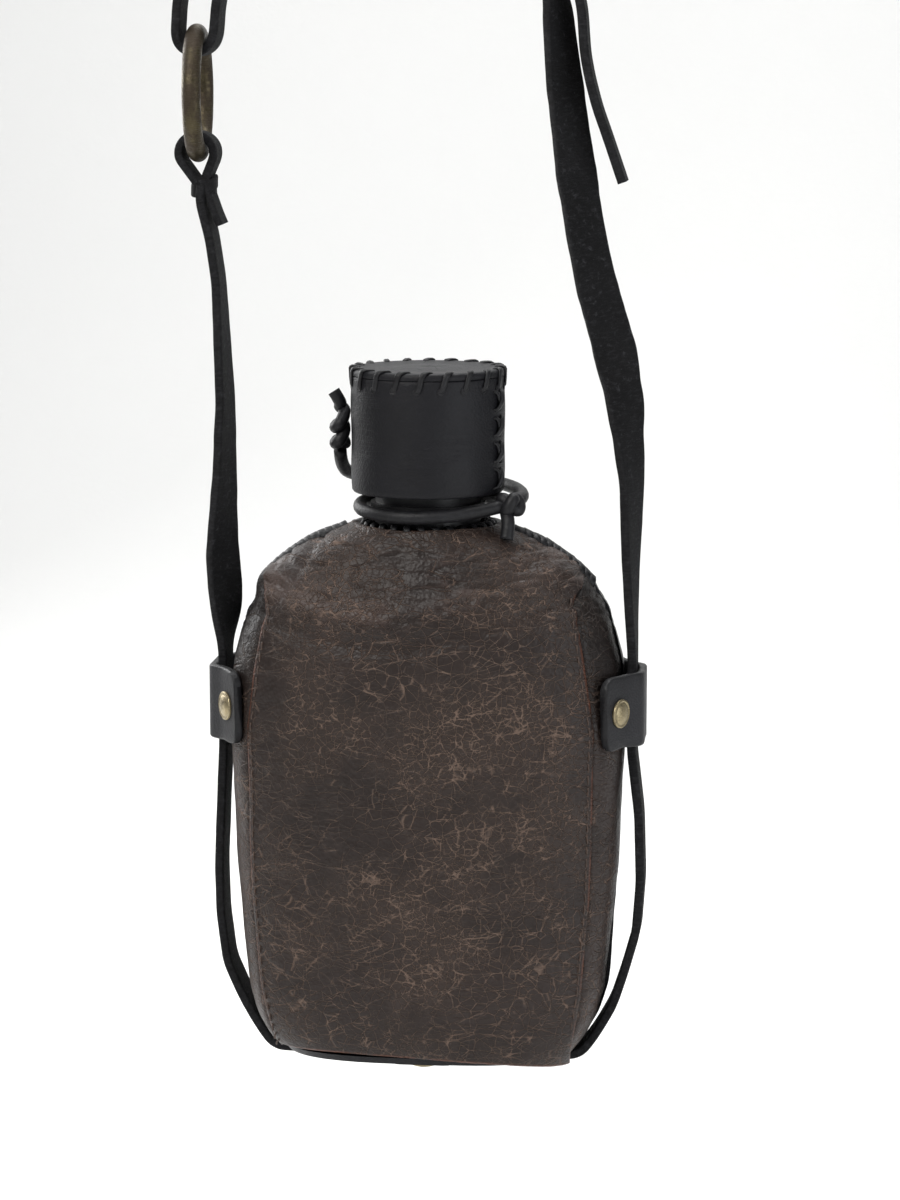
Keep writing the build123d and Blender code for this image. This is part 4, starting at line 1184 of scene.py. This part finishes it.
class CANTEEN_OT_rivets(bpy.types.Operator):
    """Domed brass rivets of the keepers"""
    bl_idname = "canteen.rivets"
    bl_label = "Set rivets"

    def execute(self, context):
        outline = [(0, -0.6), (4.3, -0.6), (4.75, -0.2), (4.9, 0.25), (4.85, 0.7), (4.5, 0.95), (4.15, 0.85),
                   (3.8, 0.72), (3.5, 0.95), (2.8, 1.38), (1.6, 1.62), (0.7, 1.69), (0, 1.7)]
        rivet = lathe("rivet", outline, 48, loose=True)
        brass = finish_named("aged_brass", aged_brass, tuple(context.scene.canteen_strap.brass), 0.45)
        lean_x, lean_y = RIVET_LEAN
        for side, name in ((1, "right_keeper_rivets"), (-1, "left_keeper_rivets")):
            spots = [(side * (64.4 + KEEPER_THICK * lean_x), y * (RIVET_OFFSET + KEEPER_THICK * lean_y) / RIVET_OFFSET,
                      KEEPER_MIDDLE) for y in (-RIVET_OFFSET, RIVET_OFFSET)]
            out = [(side * lean_x, -lean_y, 0), (side * lean_x, lean_y, 0)]
            pair = row(name.replace("_keeper_rivets", "_rivets"), spots, out, [(0, 0, 1)] * 2, 2, rivet, brass,
                       wobble=0.03)
            finish_piece(pair, "canteen", brass, [name])
        spots = [(0, y, -KEEPER_THICK) for y in (-BASE_RIVET_OFFSET, BASE_RIVET_OFFSET)]
        pair = row("base_rivets", spots, [(0, 0, -1)] * 2, [(1, 0, 0)] * 2, 2, rivet, brass, wobble=0.03)
        finish_piece(pair, "canteen", brass, ["base_keeper_rivets"])
        bpy.data.objects.remove(rivet)
        return {"FINISHED"}


# ---- The neck cord: route in metres, from the neck's leather edge on the canteen's axis ----
CORD_ROUTE = [
    (-0.0300, 0.0010, 0.0241), (-0.0306, 0.0072, 0.0173), (-0.0266, 0.0168, 0.0139),
    (-0.0180, 0.0256, 0.0127), (-0.0055, 0.0306, 0.0121), (0.0082, 0.0302, 0.0117),
    (0.0202, 0.0242, 0.0113), (0.0284, 0.0136, 0.0107), (0.0323, 0.0016, 0.0100),
    (0.0322, -0.0094, 0.0094), (0.0244, -0.0156, 0.0074), (0.0126, -0.0216, 0.0054),
    (-0.0065, -0.0241, 0.0046), (-0.0216, -0.0126, 0.0053), (-0.0241, 0.0065, 0.0065),
    (-0.0125, 0.0217, 0.0068), (0.0066, 0.0240, 0.0069), (0.0216, 0.0127, 0.0073),
    (0.0267, -0.0006, 0.0079), (0.0266, -0.0094, 0.0082), (0.0286, -0.0158, 0.0044),
    (0.0289, -0.0176, 0.0010), (0.0284, -0.0185, -0.0026)]
# The rest of the cord, in local millimetres
NOOSE_KNOT = 29.2, -13.5, 189.8
COIL_X, COIL_FOOT, COIL_TALL, COIL_TURNS = -29.9, 206.6, 12.5, 2.3
CUT_END = [(-29.6, 0.4, 221.6), (-30.6, -1.2, 224.0), (-32.0, -1.2, 226.2)]


class CANTEEN_OT_cord(bpy.types.Operator):
    """Cord from the cap's knot, behind the cap and in a noose round the neck, with its knots"""
    bl_idname = "canteen.cord"
    bl_label = "Tie neck cord"

    def execute(self, context):
        settings = context.scene.canteen_strap
        radius = settings.cord / MM / 2
        cord_skin = finish_named("neck_cord", lace_leather, shade(settings.lace, 1.1), 0.42)
        neck = ORIGIN + Vector((0, 0, HEIGHT * MM))
        route = smooth_route([Vector(p) + neck for p in CORD_ROUTE], "neck_cord_route")
        local = [(p - ORIGIN) / MM for p in route]
        cord = cord_mesh("neck_cord", local, radius, 14)
        finish_piece(cord, None, cord_skin)
        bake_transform(cord)
        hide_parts("cap_tether", "neck_cord_loop", "neck_cord_end")
        angles = np.linspace(0, 2 * math.pi, 90, endpoint=False)
        knot_x, knot_y, knot_z = NOOSE_KNOT
        knot = np.stack([knot_x + 1.35 * (np.sin(angles) + 1.6 * np.sin(2 * angles)) * 0.95,
                         knot_y + 1.15 * (np.cos(angles) - 1.6 * np.cos(2 * angles)) * 0.90,
                         knot_z - 1.9 * np.sin(3 * angles)], 1)
        noose = cord_mesh("noose_knot", knot, radius * 0.95, 12, closed=True)
        finish_piece(noose, "neck_cord", cord_skin, ["neck_cord_knot"])
        turns = np.linspace(0, COIL_TURNS * 2 * math.pi, 130)
        coil = np.stack([COIL_X + 1.5 * np.cos(turns), 2.5 * np.sin(turns) * (1 + 0.25 * np.sin(turns * 0.7)),
                         COIL_FOOT + COIL_TALL * turns / turns[-1] + 1.7 * np.sin(turns + 0.6)], 1)
        winding = softened_path(np.concatenate([coil, CUT_END]), 0.5, 2)
        wound = cord_mesh("cap_knot", winding, radius * 0.96, 12)
        finish_piece(wound, "cap", cord_skin, ["cap_cord_knot"])
        return {"FINISHED"}


class CANTEEN_OT_plastics(bpy.types.Operator):
    """Materials of the bottle, the screw cap, its gasket and the leather base"""
    bl_idname = "canteen.plastics"
    bl_label = "Finish plastic parts"

    def execute(self, context):
        plastic = finish_named("moulded_plastic", moulded_plastic)
        rubber = finish_named("seal_rubber", seal_rubber)
        for node, skin in (("bottle", plastic), ("screw_cap", plastic), ("cap_gasket", rubber),
                           ("base_panel", back_finish(context))):
            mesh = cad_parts[node].data
            mesh.materials.clear()
            mesh.materials.append(skin)
        return {"FINISHED"}


def area_light(name, at, toward, size, power, colour=(1, 1, 1)):
    """Soft square light at local point, aimed at another."""
    light = bpy.data.lights.new(name, "AREA")
    light.shape, light.size, light.energy, light.color = "SQUARE", size, power, colour
    lamp = bpy.data.objects.new(name, light)
    lamp.location = place(at)
    lamp.rotation_euler = (Vector(place(toward)) - lamp.location).to_track_quat("-Z", "Y").to_euler()
    bpy.context.scene.collection.objects.link(lamp)


class CANTEEN_OT_stage(bpy.types.Operator):
    """Pale floor, soft studio lights and camera"""
    bl_idname = "canteen.stage"
    bl_label = "Set stage"

    def execute(self, context):
        settings = context.scene.canteen_stage
        scene = context.scene
        low = local_box("base_keeper_rivets")[0].z - settings.floor_gap / MM
        profile = [(-1600, low), (500, low), (900, low + 30), (1200, low + 150), (1400, low + 420),
                   (1450, low + 1500)]
        profile = softened_path([(0, y, z) for y, z in profile], 30, 5)
        verts = [(x, y, z) for _, y, z in profile for x in (-1600, 1600)]
        floor = object_from("floor", verts, grid_faces(len(profile), 2))
        f = Finish("floor")
        wash = f.grain(3, 4)
        f.relief((f.grain(220, 3), 0.0002),)
        floor.data.materials.append(f.set(Base_Color=f.mix(wash, (0.82, 0.82, 0.81), (0.87, 0.87, 0.86)),
                                          Roughness=0.75 + wash * 0.1))
        area_light("key", (-420, -700, 820), (0, 0, 160), 0.60, settings.key, (1.0, 0.98, 0.95))
        area_light("fill", (760, -520, 300), (0, 0, 150), 0.70, settings.key * 0.42, (0.95, 0.97, 1.0))
        area_light("top", (0, 160, 900), (0, 0, 180), 0.60, settings.key * 0.55)
        area_light("rim", (-620, 420, 420), (0, 0, 170), 0.45, settings.key * 0.5)
        area_light("backdrop", (0, 500, 1500), (0, 1450, 500), 0.9, settings.key * 1.5)
        world = bpy.data.worlds.new("studio")
        world.use_nodes = True
        world.node_tree.nodes["Background"].inputs["Color"].default_value = (0.92, 0.95, 1.0, 1.0)
        world.node_tree.nodes["Background"].inputs["Strength"].default_value = 0.17
        scene.world = world
        camera = bpy.data.cameras.new("camera")
        camera.lens = settings.lens
        camera.clip_start = 0.01
        viewer = bpy.data.objects.new("camera", camera)
        viewer.location = place((135.8, -1192.3, 350.0))
        sight = Vector(place((7.5, 0, 155.0))) - viewer.location
        viewer.rotation_euler = sight.to_track_quat("-Z", "Y").to_euler()
        scene.collection.objects.link(viewer)
        scene.camera = viewer
        scene.view_settings.view_transform = "Standard"
        return {"FINISHED"}


class CANTEEN_PT_panel(bpy.types.Panel):
    """Sizes, colours and building steps of the canteen"""
    bl_label = "Canteen"
    bl_idname = "CANTEEN_PT_panel"
    bl_space_type = "VIEW_3D"
    bl_region_type = "UI"
    bl_category = "Canteen"

    def draw(self, context):
        for name in GROUPS:
            box = self.layout.box()
            group = getattr(context.scene, name)
            for key in group.__annotations__:
                box.prop(group, key)
        for step in STEPS:
            self.layout.operator(step.bl_idname)


GROUPS = {"canteen_leather": Canteen_PG_leather, "canteen_lacing": Canteen_PG_lacing,
          "canteen_strap": Canteen_PG_strap, "canteen_stage": Canteen_PG_stage}
STEPS = (CANTEEN_OT_stage, CANTEEN_OT_cord, CANTEEN_OT_cover, CANTEEN_OT_seams, CANTEEN_OT_lacing, CANTEEN_OT_cap,
         CANTEEN_OT_strap, CANTEEN_OT_ring, CANTEEN_OT_keepers, CANTEEN_OT_rivets, CANTEEN_OT_plastics)


def register():
    for cls in (*GROUPS.values(), *STEPS, CANTEEN_PT_panel):
        bpy.utils.register_class(cls)
    for name, group in GROUPS.items():
        setattr(bpy.types.Scene, name, PointerProperty(type=group))


def unregister():
    for name in GROUPS:
        delattr(bpy.types.Scene, name)
    for cls in (CANTEEN_PT_panel, *reversed(STEPS), *reversed(GROUPS.values())):
        bpy.utils.unregister_class(cls)


def main():
    register()
    for step in STEPS:
        family, action = step.bl_idname.split(".")
        if getattr(getattr(bpy.ops, family), action)() != {"FINISHED"}:
            raise RuntimeError(step.bl_label)


if __name__ == "__main__":
    main()
